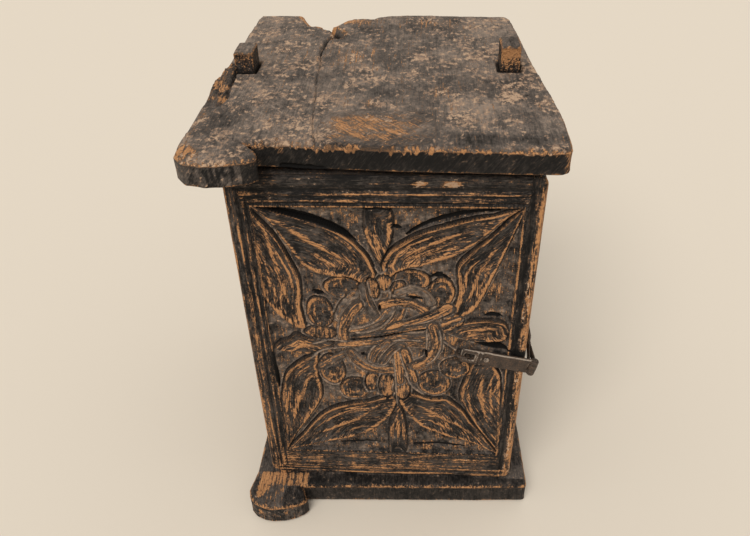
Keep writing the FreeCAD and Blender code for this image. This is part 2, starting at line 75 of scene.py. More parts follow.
def lattice(ix, iy, seed):
    """Repeatable random value from 0 to 1 for each whole-numbered place."""
    mask = np.uint64(0xFFFFFFFF)
    h = (ix.astype(np.int64) * 374761393 + iy.astype(np.int64) * 668265263 + seed * 974634777)
    h = h.astype(np.uint64) & mask
    for shift, factor in ((13, 1274126177), (15, 2246822519)):
        h = ((h ^ (h >> np.uint64(shift))) * np.uint64(factor)) & mask
    return ((h ^ (h >> np.uint64(16))) & np.uint64(0xFFFF)).astype(float) / 0xFFFF


def noise(x, y, seed):
    """Smooth noise from -1 to 1 with features one unit across."""
    x0, y0 = np.floor(x), np.floor(y)
    u, v = x - x0, y - y0
    u, v = u * u * (3 - 2 * u), v * v * (3 - 2 * v)
    low = lattice(x0, y0, seed) * (1 - u) + lattice(x0 + 1, y0, seed) * u
    high = lattice(x0, y0 + 1, seed) * (1 - u) + lattice(x0 + 1, y0 + 1, seed) * u
    return 2.0 * (low * (1 - v) + high * v) - 1.0


def layered(x, y, seed, layers=3):
    """Noise with finer and weaker layers added to it."""
    total, weight = 0.0, 0.0
    for k in range(layers):
        total = total + noise(x * 2**k, y * 2**k, seed + 17 * k) * 0.5**k
        weight += 0.5**k
    return total / weight


def ramp(x, low, high):
    """Smooth step from 0 at low to 1 at high."""
    t = np.clip((x - low) / (high - low), 0.0, 1.0)
    return t * t * (3 - 2 * t)


def fall(x, low, high):
    """Smooth step from 1 at low to 0 at high."""
    return 1.0 - ramp(x, low, high)


def most(*values):
    """The largest of several fields at each point."""
    return functools.reduce(np.maximum, values)


def spot(x, y, middle, reach, power=2):
    """Soft oval spot: 1 in its middle and nothing well outside its reach."""
    return np.exp(-(((x - middle[0]) / reach[0]) ** power + ((y - middle[1]) / reach[1]) ** power))


def stripe(far, width, power=2):
    """Soft line: 1 on it and nothing well outside its width."""
    return np.exp(-((far / width) ** power))


# ---------------------------------------------------------------- curves


def smooth_curve(points, per_span=8):
    """Points along a smooth curve through the given ones."""
    p = np.array(points, float)
    ends = np.vstack([p[:1], p, p[-1:]])
    out = []
    for a, b, c, d in zip(ends, ends[1:], ends[2:], ends[3:]):
        for t in np.arange(per_span) / per_span:
            out.append(0.5 * (2 * b + (c - a) * t + (2 * a - 5 * b + 4 * c - d) * t**2
                              + (3 * b - 3 * c + d - a) * t**3))
    return np.array(out + [p[-1]])


def closed(ring):
    """A ring with its first point repeated at its end."""
    return np.vstack([ring, ring[:1]])


def away(x, y, place):
    """Distance of each point from one place."""
    return np.hypot(x - place[0], y - place[1])


def trace(x, y, curve):
    """Distance to a curve, share of its length and signed side, for each point."""
    a, b = curve[:-1], curve[1:]
    run = b - a
    length = most(np.hypot(run[:, 0], run[:, 1]), 1e-9)
    start = np.concatenate([[0.0], np.cumsum(length)])
    best = np.full(x.shape, 1e18)
    share = np.zeros(x.shape)
    side = np.zeros(x.shape)
    for i in range(len(a)):
        dx, dy = x - a[i, 0], y - a[i, 1]
        t = np.clip((dx * run[i, 0] + dy * run[i, 1]) / length[i] ** 2, 0.0, 1.0)
        far = (dx - t * run[i, 0]) ** 2 + (dy - t * run[i, 1]) ** 2
        near = far < best
        best = np.where(near, far, best)
        share = np.where(near, (start[i] + t * length[i]) / start[-1], share)
        side = np.where(near, run[i, 0] * dy - run[i, 1] * dx, side)
    return np.sqrt(best), share, np.sign(side)


def far_from(x, y, curve):
    """Distance to a curve."""
    return trace(x, y, curve)[0]


def within(x, y, ring):
    """Whether each point lies inside a closed ring."""
    inside = np.zeros(x.shape, bool)
    for (x0, y0), (x1, y1) in zip(ring, np.roll(ring, -1, axis=0)):
        if y0 == y1:
            continue
        crosses = (y0 > y) != (y1 > y)
        inside ^= crosses & (x < (x1 - x0) * (y - y0) / (y1 - y0) + x0)
    return inside


def rectangle(x0, x1, y0, y1):
    return np.array(((x0, y0), (x1, y0), (x1, y1), (x0, y1)), float)


# ---------------------------------------------------------------- meshes


def finish_mesh(name, points, faces, body, node, slot_name, marks):
    """Piece in a node's place from millimetre points, its marks kept as attributes."""
    mesh = bpy.data.meshes.new(name)
    mesh.from_pydata((np.asarray(points) * MM).tolist(), [], faces)
    for key, values in marks.items():
        kind, field = ("FLOAT_VECTOR", "vector") if values.ndim == 2 else ("FLOAT", "value")
        layer = mesh.attributes.new(key, kind, "POINT")
        layer.data.foreach_set(field, values.astype(np.float32).ravel())
    bm = bmesh.new()
    bm.from_mesh(mesh)
    open_edges = [e for e in bm.edges if e.is_boundary]
    if open_edges:
        bmesh.ops.triangle_fill(bm, edges=open_edges, use_beauty=True)
    bmesh.ops.recalc_face_normals(bm, faces=bm.faces)
    bm.to_mesh(mesh)
    bm.free()
    mesh.materials.append(finishes[slot_name])
    mesh.shade_smooth()
    piece = bpy.data.objects.new(name, mesh)
    bpy.context.scene.collection.objects.link(piece)
    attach(piece, body)
    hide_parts(node)


def kept_cells(inside):
    """Grid cells with all corners inside, without cells that touch only at a corner."""
    cells = inside[:-1, :-1] & inside[1:, :-1] & inside[1:, 1:] & inside[:-1, 1:]
    while True:
        a, b, c, d = cells[:-1, :-1], cells[1:, :-1], cells[1:, 1:], cells[:-1, 1:]
        falling = a & c & ~b & ~d
        rising = b & d & ~a & ~c
        if not (falling.any() or rising.any()):
            return cells
        cells[:-1, :-1] &= ~falling
        cells[1:, :-1] &= ~rising


def border_loops(cells, index):
    """Closed loops of grid points round the kept cells, with the cells on their left."""
    padded = np.pad(cells, 1)
    middle = padded[1:-1, 1:-1]
    sides = (
        (padded[1:-1, :-2], (0, 0), (1, 0)),
        (padded[2:, 1:-1], (1, 0), (1, 1)),
        (padded[1:-1, 2:], (1, 1), (0, 1)),
        (padded[:-2, 1:-1], (0, 1), (0, 0)),
    )
    follow = {}
    for neighbour, start, end in sides:
        i, j = np.nonzero(middle & ~neighbour)
        heads = index[i + start[0], j + start[1]]
        tails = index[i + end[0], j + end[1]]
        follow.update(zip(heads.tolist(), tails.tolist()))
    loops = []
    while follow:
        first = next(iter(follow))
        loop, at = [first], follow.pop(first)
        while at != first:
            loop.append(at)
            at = follow.pop(at)
        loops.append(np.array(loop))
    return loops


def snap_to_ring(points, ring, rounds=3):
    """Moves a loop's points onto a ring, evenly spread, and gives the outward directions."""
    corners = closed(ring)
    run = np.diff(corners, axis=0)
    length = np.hypot(run[:, 0], run[:, 1])
    start = np.concatenate([[0.0], np.cumsum(length)])
    total = start[-1]
    _, share, _ = trace(points[:, 0], points[:, 1], corners)
    at = np.unwrap(share * 2 * math.pi) / (2 * math.pi) * total
    turns = round((at[-1] - at[0]) / total)
    turns = turns if turns else (1 if at[-1] > at[0] else -1)
    for _ in range(rounds):
        before = np.concatenate([[at[-1] - turns * total], at[:-1]])
        after = np.concatenate([at[1:], [at[0] + turns * total]])
        at = (before + 2 * at + after) / 4.0
    at = np.mod(at, total)
    place = np.clip(np.searchsorted(start, at, side="right") - 1, 0, len(run) - 1)
    t = ((at - start[place]) / most(length[place], 1e-9))[:, None]
    tangent = run[place] / most(length[place], 1e-9)[:, None]
    return corners[place] + run[place] * t, np.stack([tangent[:, 1], -tangent[:, 0]], axis=1)


def settle_rim(flat, loop, rings):
    """Moves a loop of grid points onto the ring beside it and gives the outward directions."""
    near = min(rings, key=lambda ring: far_from(*flat[loop].T, closed(ring)).mean())
    snapped, direction = snap_to_ring(flat[loop], near)
    heading = np.roll(snapped, -1, axis=0) - snapped
    outward = np.stack([heading[:, 1], -heading[:, 0]], axis=1)
    flat[loop] = snapped
    return direction * np.sign((direction * outward).sum(axis=1).mean())


def cut_grid(xs, ys, rings):
    """Grid within the first ring and outside the others, kept clear of the rings.

    Gives its points, their distance to a ring, its quads and its border loops.
    """
    gx, gy = np.meshgrid(xs, ys, indexing="ij")
    clear = min(np.diff(xs).min(), np.diff(ys).min()) * 0.35
    edge = np.full(gx.shape, 1e9)
    inside = np.ones(gx.shape, bool)
    for k, ring in enumerate(rings):
        far = far_from(gx, gy, closed(ring))
        edge = np.minimum(edge, far)
        inside &= (within(gx, gy, ring) == (k == 0)) & (far > clear)
    cells = kept_cells(inside)
    used = np.zeros(gx.shape, bool)
    for corner in (np.s_[:-1, :-1], np.s_[1:, :-1], np.s_[1:, 1:], np.s_[:-1, 1:]):
        used[corner] |= cells
    index = np.full(gx.shape, -1)
    index[used] = np.arange(used.sum())
    i, j = np.nonzero(cells)
    quads = np.stack([index[i, j], index[i + 1, j], index[i + 1, j + 1], index[i, j + 1]], 1)
    return np.stack([gx[used], gy[used]], axis=1), edge[used], quads, border_loops(cells, index)


class Board:
    """Closed board, gathered ring by ring."""

    def __init__(self, flat, height, edge, quads):
        self.points = [np.column_stack([flat, height])]
        self.edge = [edge]
        self.where = [np.full(len(flat), "up")]
        self.faces = quads.tolist()
        self.count = len(flat)

    def add(self, points, where, edge):
        """Adds points on one of the board's faces and gives their numbers."""
        self.points.append(points)
        self.edge.append(edge)
        self.where.append(np.full(len(points), where))
        self.count += len(points)
        return np.arange(self.count - len(points), self.count)

    def join(self, above, below):
        """Faces between two rings."""
        corners = above, below, np.roll(below, -1), np.roll(above, -1)
        self.faces += np.stack(corners, 1).tolist()

    def close(self):
        """Makes whole fields of what was gathered and tells the faces apart."""
        self.points = np.vstack(self.points)
        self.edge = np.concatenate(self.edge)
        where = np.concatenate(self.where)
        self.up, self.sides, self.low = (where == face for face in ("up", "side", "low"))
        return self


def slab(xs, ys, outline, holes, thickness, top, drop, under=None, under_drop=1.0,
         side=None, rows=8):
    """Closed board between a height field above and a flat or second height field below.

    top(x, y, edge) is the height of the upper face, where edge is the distance to the rim, and
    drop(x, y) is how far the worn rim lies below it. side(x, y, depth) moves the side walls
    outwards. The board's edge says how far each point lies from the rim.
    """
    rings = [outline, *holes]
    flat, edge, quads, loops = cut_grid(xs, ys, rings)
    outward = [settle_rim(flat, loop, rings) for loop in loops]
    rims = np.concatenate(loops)
    edge[rims] = 0.0
    height = top(*flat.T, edge)
    height[rims] -= drop(*flat[rims].T)
    board = Board(flat, height, edge, quads)
    last = under_drop - thickness
    foot = np.full(len(flat), -1)
    for loop, out in zip(loops, outward):
        x, y = flat[loop].T
        rim, above = height[loop], loop
        for share in np.arange(1, rows + 1) / rows:
            depth = rim + (last - rim) * share
            swell = math.sin(math.pi * share) ** 0.5 if share < 1 else 0.0
            push = side(x, y, depth) * swell if side else np.zeros(len(x))
            ring = np.column_stack([x + out[:, 0] * push, y + out[:, 1] * push, depth])
            below = board.add(ring, "side", np.minimum(rim - depth, depth - last))
            board.join(above, below)
            above = below
        foot[loop] = above
        if under is None:
            inset = np.column_stack([flat[loop] - out * under_drop, np.full(len(x), -thickness)])
            board.join(above, board.add(inset, "low", np.zeros(len(x))))
    if under is not None:
        inner = np.setdiff1d(np.arange(len(flat)), rims)
        x, y = flat[inner].T
        floor = np.column_stack([x, y, -thickness + under(x, y, edge[inner])])
        foot[inner] = board.add(floor, "low", edge[inner])
        board.faces += foot[quads][:, ::-1].tolist()
    return board.close()


def lines(low, high, step):
    """Evenly spaced grid lines from low to high, both included."""
    return np.linspace(low, high, max(2, int(round((high - low) / step)) + 1))


def rounded_edge(edge, radius):
    """Depth of a rounded arris at a distance from the edge."""
    d = np.clip(edge / radius, 0.0, 1.0)
    return radius * (1.0 - np.sqrt(1.0 - (1.0 - d) ** 2))


# ---------------------------------------------------------------- finishes


def linear(red, green, blue):
    """Colour written as 8-bit values, as the shaders want it."""
    def one(c):
        c /= 255.0
        return c / 12.92 if c <= 0.04045 else ((c + 0.055) / 1.055) ** 2.4
    return (one(red), one(green), one(blue), 1.0)


class Sheet:
    """A node tree laid by short calls."""

    def __init__(self, tree):
        self.tree = tree

    def lay(self, kind, inputs=(), **settings):
        piece = self.tree.nodes.new(kind)
        for key, value in settings.items():
            setattr(piece, key, value)
        for key, value in dict(inputs).items():
            if isinstance(value, bpy.types.NodeSocket):
                self.tree.links.new(value, piece.inputs[key])
            else:
                piece.inputs[key].default_value = value
        return piece


class Finish(Sheet):
    """A material, its parts named as a finisher would name them."""

    def __init__(self, name):
        self.material = bpy.data.materials.new(name)
        self.material.use_nodes = True
        super().__init__(self.material.node_tree)
        self.tree.nodes.clear()

    def mark(self, name):
        """A number kept on the mesh."""
        return self.lay("ShaderNodeAttribute", attribute_name=name).outputs["Fac"]

    def place(self, name="grain"):
        """The piece's own grain coordinates, in metres: across, along and out of the wood."""
        return self.lay("ShaderNodeAttribute", attribute_name=name).outputs["Vector"]

    def noise(self, place, stretch, detail=3.0, roughness=0.55):
        """Noise whose features are so many to the metre on each axis of the grain."""
        at = self.lay("ShaderNodeVectorMath", {0: place, 1: stretch}, operation="MULTIPLY")
        spots = self.lay("ShaderNodeTexNoise", {
            "Vector": at.outputs[0], "Scale": 1.0, "Detail": detail, "Roughness": roughness})
        return spots.outputs["Fac"]

    def math(self, kind, a, b=0.0):
        return self.lay("ShaderNodeMath", {0: a, 1: b}, operation=kind).outputs[0]

    def wave(self, place, stretch, detail=3.0, roughness=0.55):
        """The same noise spread to run from -1 to 1."""
        return self.lay("ShaderNodeMapRange", {
            "Value": self.noise(place, stretch, detail, roughness), "From Min": 0.3,
            "From Max": 0.7, "To Min": -1.0, "To Max": 1.0}).outputs["Result"]

    def sum_of(self, start, *parts):
        """A start value plus each wave times its weight."""
        total = start
        for wave, weight in parts:
            total = self.lay("ShaderNodeMath", {0: wave, 1: weight, 2: total},
                             operation="MULTIPLY_ADD").outputs[0]
        return total

    def step(self, value, low, high):
        """Smooth step between two levels."""
        return self.lay("ShaderNodeMapRange", {
            "Value": value, "From Min": low, "From Max": high},
            interpolation_type="SMOOTHSTEP").outputs["Result"]

    def blend(self, share, a, b):
        mixer = self.lay("ShaderNodeMix", {0: share, 6: a, 7: b}, data_type="RGBA")
        return mixer.outputs[2]

    def bump(self, height, distance, strength, below=None):
        inputs = {"Height": height, "Distance": distance, "Strength": strength}
        if below is not None:
            inputs["Normal"] = below
        return self.lay("ShaderNodeBump", inputs).outputs["Normal"]

    def surface(self, colour, roughness, normal, **same):
        inputs = {"Base Color": colour, "Roughness": roughness, "Normal": normal}
        inputs.update(same)
        shader = self.lay("ShaderNodeBsdfPrincipled", inputs)
        self.lay("ShaderNodeOutputMaterial", {"Surface": shader.outputs[0]})
        return self.material


bare_dark = linear(140, 96, 60)
bare_light = linear(202, 146, 96)
rubbed_brown = linear(96, 73, 55)
patina_black = linear(22, 20, 19)
patina_grey = linear(86, 77, 70)
dust_light = linear(154, 135, 118)
scratch_grey = linear(132, 121, 110)
iron_dark = linear(38, 30, 24)
iron_brown = linear(92, 74, 60)
rust = linear(106, 72, 44)
iron_bright = linear(150, 134, 118)
tan_fleck = linear(172, 138, 110)
pale_wood = linear(204, 170, 138)
soot_and_shade_black = linear(14, 12, 11)


def old_wood(name, tan):
    """Black patina over orange-brown wood, worn, dusty and sooty where the marks say so; the same
    black also paints shade into hollows and shadowed places.
    """
    f = Finish(name)
    at = f.place()
    wear, dust, pale, soot = (f.mark(k) for k in ("wear", "dust", "pale", "soot"))
    streak = f.wave(at, (460, 17, 460), 4, 0.62)
    fibre = f.wave(at, (1100, 60, 1100), 3, 0.6)
    fleck = f.wave(at, (560, 360, 560), 4, 0.7)
    flake = f.wave(at, (220, 150, 220), 5, 0.66)
    blotch = f.wave(at, (64, 44, 64), 4, 0.6)
    broad = f.wave(at, (19, 14, 19), 3, 0.55)
    scratch = f.wave(at, (700, 90, 420), 2, 0.5)

    worn = f.sum_of(wear, (streak, 0.32), (fibre, 0.22), (fleck, 0.26), (blotch, 0.10))
    browned = f.step(worn, 0.30, 0.52)
    bared = f.step(worn, 0.52, 0.66)
    tone = f.sum_of(dust, (broad, 0.14), (blotch, 0.18), (flake, 0.20), (fleck, 0.20),
                    (fibre, 0.13), (streak, 0.10))
    flecked = f.step(f.sum_of(tan, (pale, 1), (flake, 0.55), (fleck, 0.22), (blotch, 0.20)),
                     0.36, 0.52)
    paled = f.step(f.sum_of(pale, (flake, 0.60), (fleck, 0.30), (streak, 0.14)), 0.62, 0.74)

    colour = f.blend(f.step(tone, -0.12, 0.52), patina_black, patina_grey)
    colour = f.blend(f.math("MULTIPLY", f.step(scratch, 0.5, 0.9), 0.26), colour, scratch_grey)
    colour = f.blend(f.step(tone, 0.36, 1.05), colour, dust_light)
    colour = f.blend(f.math("MULTIPLY", flecked, 0.62), colour, tan_fleck)
    colour = f.blend(browned, colour, rubbed_brown)
    bare = f.blend(f.sum_of(0.60, (streak, 0.30), (fibre, 0.30), (fleck, 0.34)),
                   bare_dark, bare_light)
    colour = f.blend(bared, colour, bare)
    colour = f.blend(f.math("MULTIPLY", paled, 0.85), colour, pale_wood)
    # Soot and painted shade: this black fills sooty cracks and also stands for shade in moats,
    # dips, cuts and shadowed spots.
    colour = f.blend(f.step(soot, 0.1, 0.9), colour, soot_and_shade_black)

    roughness = f.sum_of(0.66, (fleck, 0.08), (bared, 0.06))
    rise = f.sum_of(0.5, (fleck, 0.34), (fibre, 0.24), (streak, 0.26), (bared, -0.12))
    normal = f.bump(rise, 0.0013, 0.8)
    return f.surface(colour, roughness, normal, **{"Specular IOR Level": 0.22})


def old_iron(name):
    """Forged iron with a brown rust skin, rubbed brighter on its edges; the strap's upper bevel is
    also lightened as a painted highlight.
    """
    f = Finish(name)
    at = f.place()
    rub = f.mark("wear")
    pit = f.wave(at, (620, 620, 620), 4, 0.65)
    patch = f.wave(at, (120, 90, 120), 4, 0.6)
    skin = f.blend(f.sum_of(0.34, (patch, 0.35), (pit, 0.4)), iron_dark, iron_brown)
    skin = f.blend(f.step(f.sum_of(0, (pit, 1), (patch, 0.3)), 0.4, 1), skin, rust)
    # Rubbed edges, and the painted highlight on the strap's upper bevel, turn to the bright iron
    # colour.
    bright = f.step(f.sum_of(rub, (pit, 0.25), (patch, 0.16)), 0.50, 0.9)
    colour = f.blend(bright, skin, iron_bright)
    roughness = f.sum_of(0.6, (pit, 0.1), (bright, -0.14))
    normal = f.bump(f.sum_of(0.5, (pit, 0.3), (patch, 0.2)), 0.0006, 0.6)
    colour = f.blend(f.step(f.mark("soot"), 0.1, 0.9), colour, soot_and_shade_black)
    return f.surface(colour, roughness, normal, Metallic=0.12)


# The finish of each material slot of the part.
finishes = {"carcass_wood": old_wood("carcass_wood", 0.0),
            "door_wood": old_wood("door_wood", -0.12),
            "iron": old_iron("rusted_iron")}


def marks(points, grain, wear=0.0, dust=0.0, pale=0.0, soot=0.0):
    """Marks for a mesh: grain coordinates in metres and how worn, dusty, pale and sooty it is, the
    last also standing for painted shade.
    """
    def each(value):
        return np.clip(np.broadcast_to(value, (len(points),)), 0.0, 1.5).astype(float)
    return {"grain": np.asarray(grain) * MM, "wear": each(wear), "dust": each(dust),
            "pale": each(pale), "soot": each(soot)}


# ---------------------------------------------------------------- top board

base_low, base_high = box_mm("base_board")
top_low, top_high = box_mm("top_board")
base_top = base_high[2]
top_under = top_low[2]
top_face = top_high[2]
tenon_depth = 28.0
tenon_width = 19.0
tenon_front = -2.0
left_low, left_high = box_mm("side_board_left")
right_low, right_high = box_mm("side_board_right")
left_tenon = (left_low[0], left_low[0] + tenon_width)
left_lean = 3.5
right_tenon = (right_low[0], right_low[0] + tenon_width)
tenons = (left_tenon, right_tenon)

# Plan of the top board, anticlockwise from its front right corner.
top_plan = (
    (146.5, -160.6), (151, -157.8), (153.4, -153), (154, -146), (153.5, -105), (148.5, -43),
    (141.5, 16), (136.5, 91), (131, 150), (127, 157.5), (80, 160), (38, 165.5), (-4, 164),
    (-20, 158.5), (-24, 153.5), (-29, 158), (-36, 165.5), (-48, 167.5), (-58, 160), (-63, 148),
    (-68, 133), (-72, 127), (-79, 129.5), (-84, 138), (-90, 136), (-96, 150), (-104, 166),
    (-120, 168.5), (-156.5, 169), (-159, 150), (-160.5, 112), (-162.5, 60), (-164, 22), (-168.6, 8),
    (-169.8, -14), (-169.2, -40), (-167.8, -78), (-169, -125), (-169.8, -150), (-168.5, -168),
    (-159, -179.5), (-142, -183.5), (-120, -181.5), (-106, -177), (-99.5, -171.5), (-103, -160),
    (-109, -151), (-117, -147), (-90, -148.5), (-67, -150.4), (-25.7, -153.7), (54.7, -158),
    (110, -160.5), (139, -161),
)
top_lobe = (-163, -168)
top_hatch = (-6, -121)
peg_hole = (127, -57)


def board_ring(plan, spacing=2.5):
    """Plan's corners joined by points at most so far apart."""
    corners = closed(np.array(plan, float))
    out = []
    for a, b in zip(corners[:-1], corners[1:]):
        n = max(1, int(np.hypot(*(b - a)) / spacing))
        for t in np.arange(n) / n:
            out.append(a + (b - a) * t)
    return np.array(out)


def wavering(plan, seed, sway):
    """Plan's edges as a hand saw and an adze leave them."""
    ring = board_ring(plan)
    for k in (0, 1):
        ring[:, k] += layered(ring[:, 1 - k] / 9, ring[:, k] / 50, seed + k) * sway
    return ring


def lying_grain(x, y, z, walls):
    """Grain along a lying board's width, turned up on its walls."""
    return np.column_stack([x, np.where(walls, z, y), np.where(walls, y, z)])


def near_tenons(x, y, lean=0.0):
    """Distance outside the nearest tenon's footprint."""
    far = np.full(x.shape, 1e9)
    for x0, x1 in tenons:
        dx = most(x0 - lean - x, x - x1 + lean, 0.0)
        dy = most(tenon_front - y, y - tenon_front - tenon_depth, 0.0)
        far = np.minimum(far, np.hypot(dx, dy))
    return far


top_crack = smooth_curve(
    ((-66, 112), (-63, 98), (-70, 86), (-72, 68), (-73, 50), (-70, 20),
     (-69.5, -17), (-65.5, -60), (-63, -100), (-59, -130), (-54, -156)))
lobe_crack = smooth_curve(((-117, -147), (-124, -143.5), (-133, -141)))
left_split = smooth_curve(
    ((-150, 22), (-150.5, 5), (-149, -15), (-148, -40), (-146.5, -62),
     (-152, -84), (-158, -108), (-164.5, -130), (-167, -145)))
back_pit = smooth_curve(((-74, 125), (-66, 118), (-58, 108), (-60, 98)))


def top_split(x, y):
    """How far a point lies inside the strip that has split off the left edge."""
    far, _, side = trace(x, y, left_split)
    return np.where((side < 0) & (y < 24) & (y > -146), far, 0.0)


def arris_nicks(x, y):
    """Slanting knife nicks along the front arris, deepest left of the middle."""
    front = (y < -140) * (x > -112)
    heavy = 0.45 + 0.55 * stripe(x - 6, 56)
    return front * heavy * ramp(layered((x - 0.7 * y) / 2.9, y / 30, 41, 2), 0.10, 0.42)


def top_surface(x, y, edge):
    """Height of the top board's upper face: hewn, cracked, wormy and broken at two edges."""
    crack_far, _, crack_side = trace(x, y, top_crack)
    pit_far = far_from(x, y, back_pit)
    height = layered(x / 70, y / 110, 3) * 0.9 + layered(x / 7, y / 60, 5) * 0.28
    height += layered(x / 3, y / 9, 9, 2) * 0.12 - 0.9
    wide = 0.35 + 1.6 * ramp(y, 30, 100)
    deep = 1.8 + 2.0 * ramp(y, 20, 60)
    height -= deep * fall(crack_far, wide * 0.4, wide + 0.9)
    height -= 0.9 * fall(crack_far, 2, 26) * (crack_side > 0)
    height -= 2.0 * fall(far_from(x, y, lobe_crack), 0.4, 1.4)
    height -= 9.0 * fall(pit_far + layered(x / 5, y / 5, 12) * 2, 2, 7)
    height -= 4.5 * spot(x, y, (-44, 160), (15, 22)) * ramp(y, 140, 168)
    split = top_split(x, y)
    torn = ramp(y, -86, -62)
    rough = layered(x / 6, y / 12, 21) * 2.6 + layered(x / 2.5, y / 5, 22) * 0.9
    fallen = 0.6 + 0.03 * split + (0.6 + rough) * torn
    height -= np.where(split > 0, ramp(split, 0, 2) * fallen, 0.0)
    gape = 3.0 + 4.0 * layered(y / 12, y * 0, 23)
    height -= gape * (split > 0) * fall(split, 1.4, 4.2) * torn
    bite = ramp(y, 118, 150) * fall(np.abs(x + 78), 20, 32)
    height -= bite * most(0.0, 9.0 - edge) * 0.75
    socket = near_tenons(x, y, left_lean * (x < 0))
    height -= 4.5 * fall(socket + layered(x / 4, y / 4, 31) * 0.8, 1.2, 3.2)
    height -= 4.0 * fall(away(x, y, peg_hole), 0.9, 1.9)
    height -= 3.4 * arris_nicks(x, y) * fall(edge, 0.5, 5.5)
    return height - rounded_edge(edge, 3) * 0.8


def top_rim_drop(x, y):
    return 0.8 + 0.9 * np.abs(layered(x / 6, y / 6, 51, 2))


def front_chip(x, y, depth):
    """The piece broken from under the front edge."""
    broken = (y < -140) * ramp(x, -92, -84) * fall(x, -66, -14)
    lip = 27.5 - 7.5 * broken + layered(x / 5, x * 0, 66) * 1.2
    return (broken > 0) * ramp(-depth, lip - 0.8, lip + 0.8)


def top_side(x, y, depth):
    """Side walls: saw and adze marks, and the chip under the front edge."""
    push = layered((x + y) / 5, depth / 40, 61) * 0.5 - 0.3
    return push - 6.0 * front_chip(x, y, depth)


# Smears on the top board: middle, reach across and along, and strength.
brown_smears = (
    (42, 138, 32, 14, 0.34), (-36, 32, 24, 32, 0.30), (70, 120, 26, 16, 0.14),
    (48, -50, 18, 16, 0.20), (-12, -74, 20, 10, 0.22), (-110, 60, 30, 30, 0.10),
    (-36, 146, 18, 20, 0.40), (100, 60, 20, 40, 0.10), (86, -112, 24, 8, 0.16),
)
dark_smears = (
    (-20, 114, 34, 28, 0.20), (-4, 38, 18, 30, 0.20), (62, -36, 36, 18, 0.24),
    (4, -54, 34, 9, 0.22), (90, -141, 66, 9, 0.42), (126, -100, 18, 34, 0.24),
    (-60, -36, 16, 22, 0.14), (-140, -100, 16, 40, 0.20), (40, -96, 12, 20, 0.20),
    (30, 60, 30, 20, 0.10), (0, -152, 90, 5, 0.25), (-130, 140, 16, 24, 0.12),
)
pale_smears = (
    (110, -62, 13, 15, 0.62), (122, -32, 11, 13, 0.42), (68, -104, 21, 25, 0.44),
    (-10, -74, 20, 9, 0.36), (48, -50, 14, 13, 0.34), (-72, -116, 13, 15, 0.52),
    (-99, -118, 6, 9, 0.60), (-38, 38, 20, 26, 0.32), (-104, 6, 18, 24, 0.30),
    (-130, 114, 22, 18, 0.28), (-140, -78, 8, 10, 0.36), (20, -6, 14, 12, 0.30),
    (100, -120, 16, 8, 0.34), (-118, -60, 12, 24, 0.26), (-20, 100, 10, 7, 0.34),
)


def smeared(values, x, y, smears, way=1.0):
    """Values with smears added to them, or taken off where the way is -1."""
    for px, py, rx, ry, strength in smears:
        values = values + way * strength * spot(x, y, (px, py), (rx, ry))
    return values


def top_wear(x, y, z, board, hatch, broken, front):
    """Where the top board's black is rubbed off."""
    edge, up, walls = board.edge, board.up, board.sides
    pit_far = far_from(x, y, back_pit)
    near = fall(edge, 0.5, 2.4 + 1.4 * (x < -96) * (y < -150))
    lobe = fall(away(x, y, top_lobe), 6, 20)
    bite = ramp(y, 116, 126) * fall(np.abs(x + 86), 22, 28)
    hump = spot(x, y, (-48, 150), (15, 16), 4)
    flat = up * most(
        near * (0.62 + 0.12 * (x > 115) + 0.34 * layered(x / 9, y / 9, 81)),
        fall(edge, 2, 6.5) * 0.9 * arris_nicks(x, y),
        hatch * (0.54 + 0.34 * layered(x / 14, y / 8, 92)),
        lobe * (0.75 + 0.5 * layered(x / 6, y / 6, 84)),
        broken * (0.36 + 0.45 * layered(x / 3, y / 12, 85, 2)),
        bite * fall(edge, 6, 11) * 0.95,
        hump * (0.72 + 0.3 * layered(x / 5, y / 8, 98)),
        stripe(pit_far - 7, 3) * (0.52 + 0.3 * layered(x / 4, y / 4, 99)),
        smeared(0.10 + 0.12 * layered(x / 30, y / 26, 86), x, y, brown_smears))
    below = -z
    slashes = ramp(layered((x + 0.7 * below) / 2.6, below / 30, 90, 2), 0.12, 0.42)
    reach = 2.0 + 8.0 * ramp(layered(x / 4, x * 0 + 0.4, 95, 2), 0, 0.5)
    fringe = (below < reach + 1) * (0.95 - 0.66 * ramp(below, 0.5, reach))
    return most(
        flat,
        walls * fall(edge, 0.3, 1.6) * (0.5 + 0.35 * layered(x / 7, y / 7, 87)),
        front * (x > -112) * fringe * (0.60 + 0.14 * stripe(x - 6, 56) + 0.16 * slashes),
        front * ramp(x, 143, 151) * 0.62,
        walls * (y >= -140) * (0.2 + 0.25 * layered((x + y) / 7, z / 8, 91)))


def top_dust(x, y, z, board, broken):
    """How dusty and how bleached the top board is."""
    dust = 0.64 + 0.30 * layered(x / 34, y / 40, 88) + 0.16 * layered(x / 9, y / 9, 93)
    dust = smeared(dust, x, y, dark_smears, -1.0)
    scratches = ramp(layered((x + y * 0.8) / 3, (y - x * 0.8) / 70, 94, 2), 0.3, 0.6)
    dust = dust + 0.35 * scratches * spot(x, y, (-92, -72), (34, 40))
    dust = np.where(board.up, dust, 0.02 + 0.30 * layered((x + y) / 3, z / 9, 101))
    lobe_wall = board.sides & (x < -112)
    dust = np.where(lobe_wall, 0.20 + 0.6 * layered((x + y) / 2.4, z / 8, 102), dust)
    dust = np.where(broken > 0.5, 0.34, dust)
    pale = 0.26 + 0.40 * layered(x / 28, y / 18, 96) + 0.32 * layered(x / 9, y / 6, 100)
    pale = smeared(pale, x, y, dark_smears, -1.0)
    for px, py, rx, ry, much in pale_smears:
        pale = most(pale, 1.35 * much * spot(x, y, (px, py), (rx, ry)))
    pale = board.up * (pale + 0.22 * layered(x / 5, y / 4, 89))
    return dust, pale * (1.0 - (broken > 0.5))


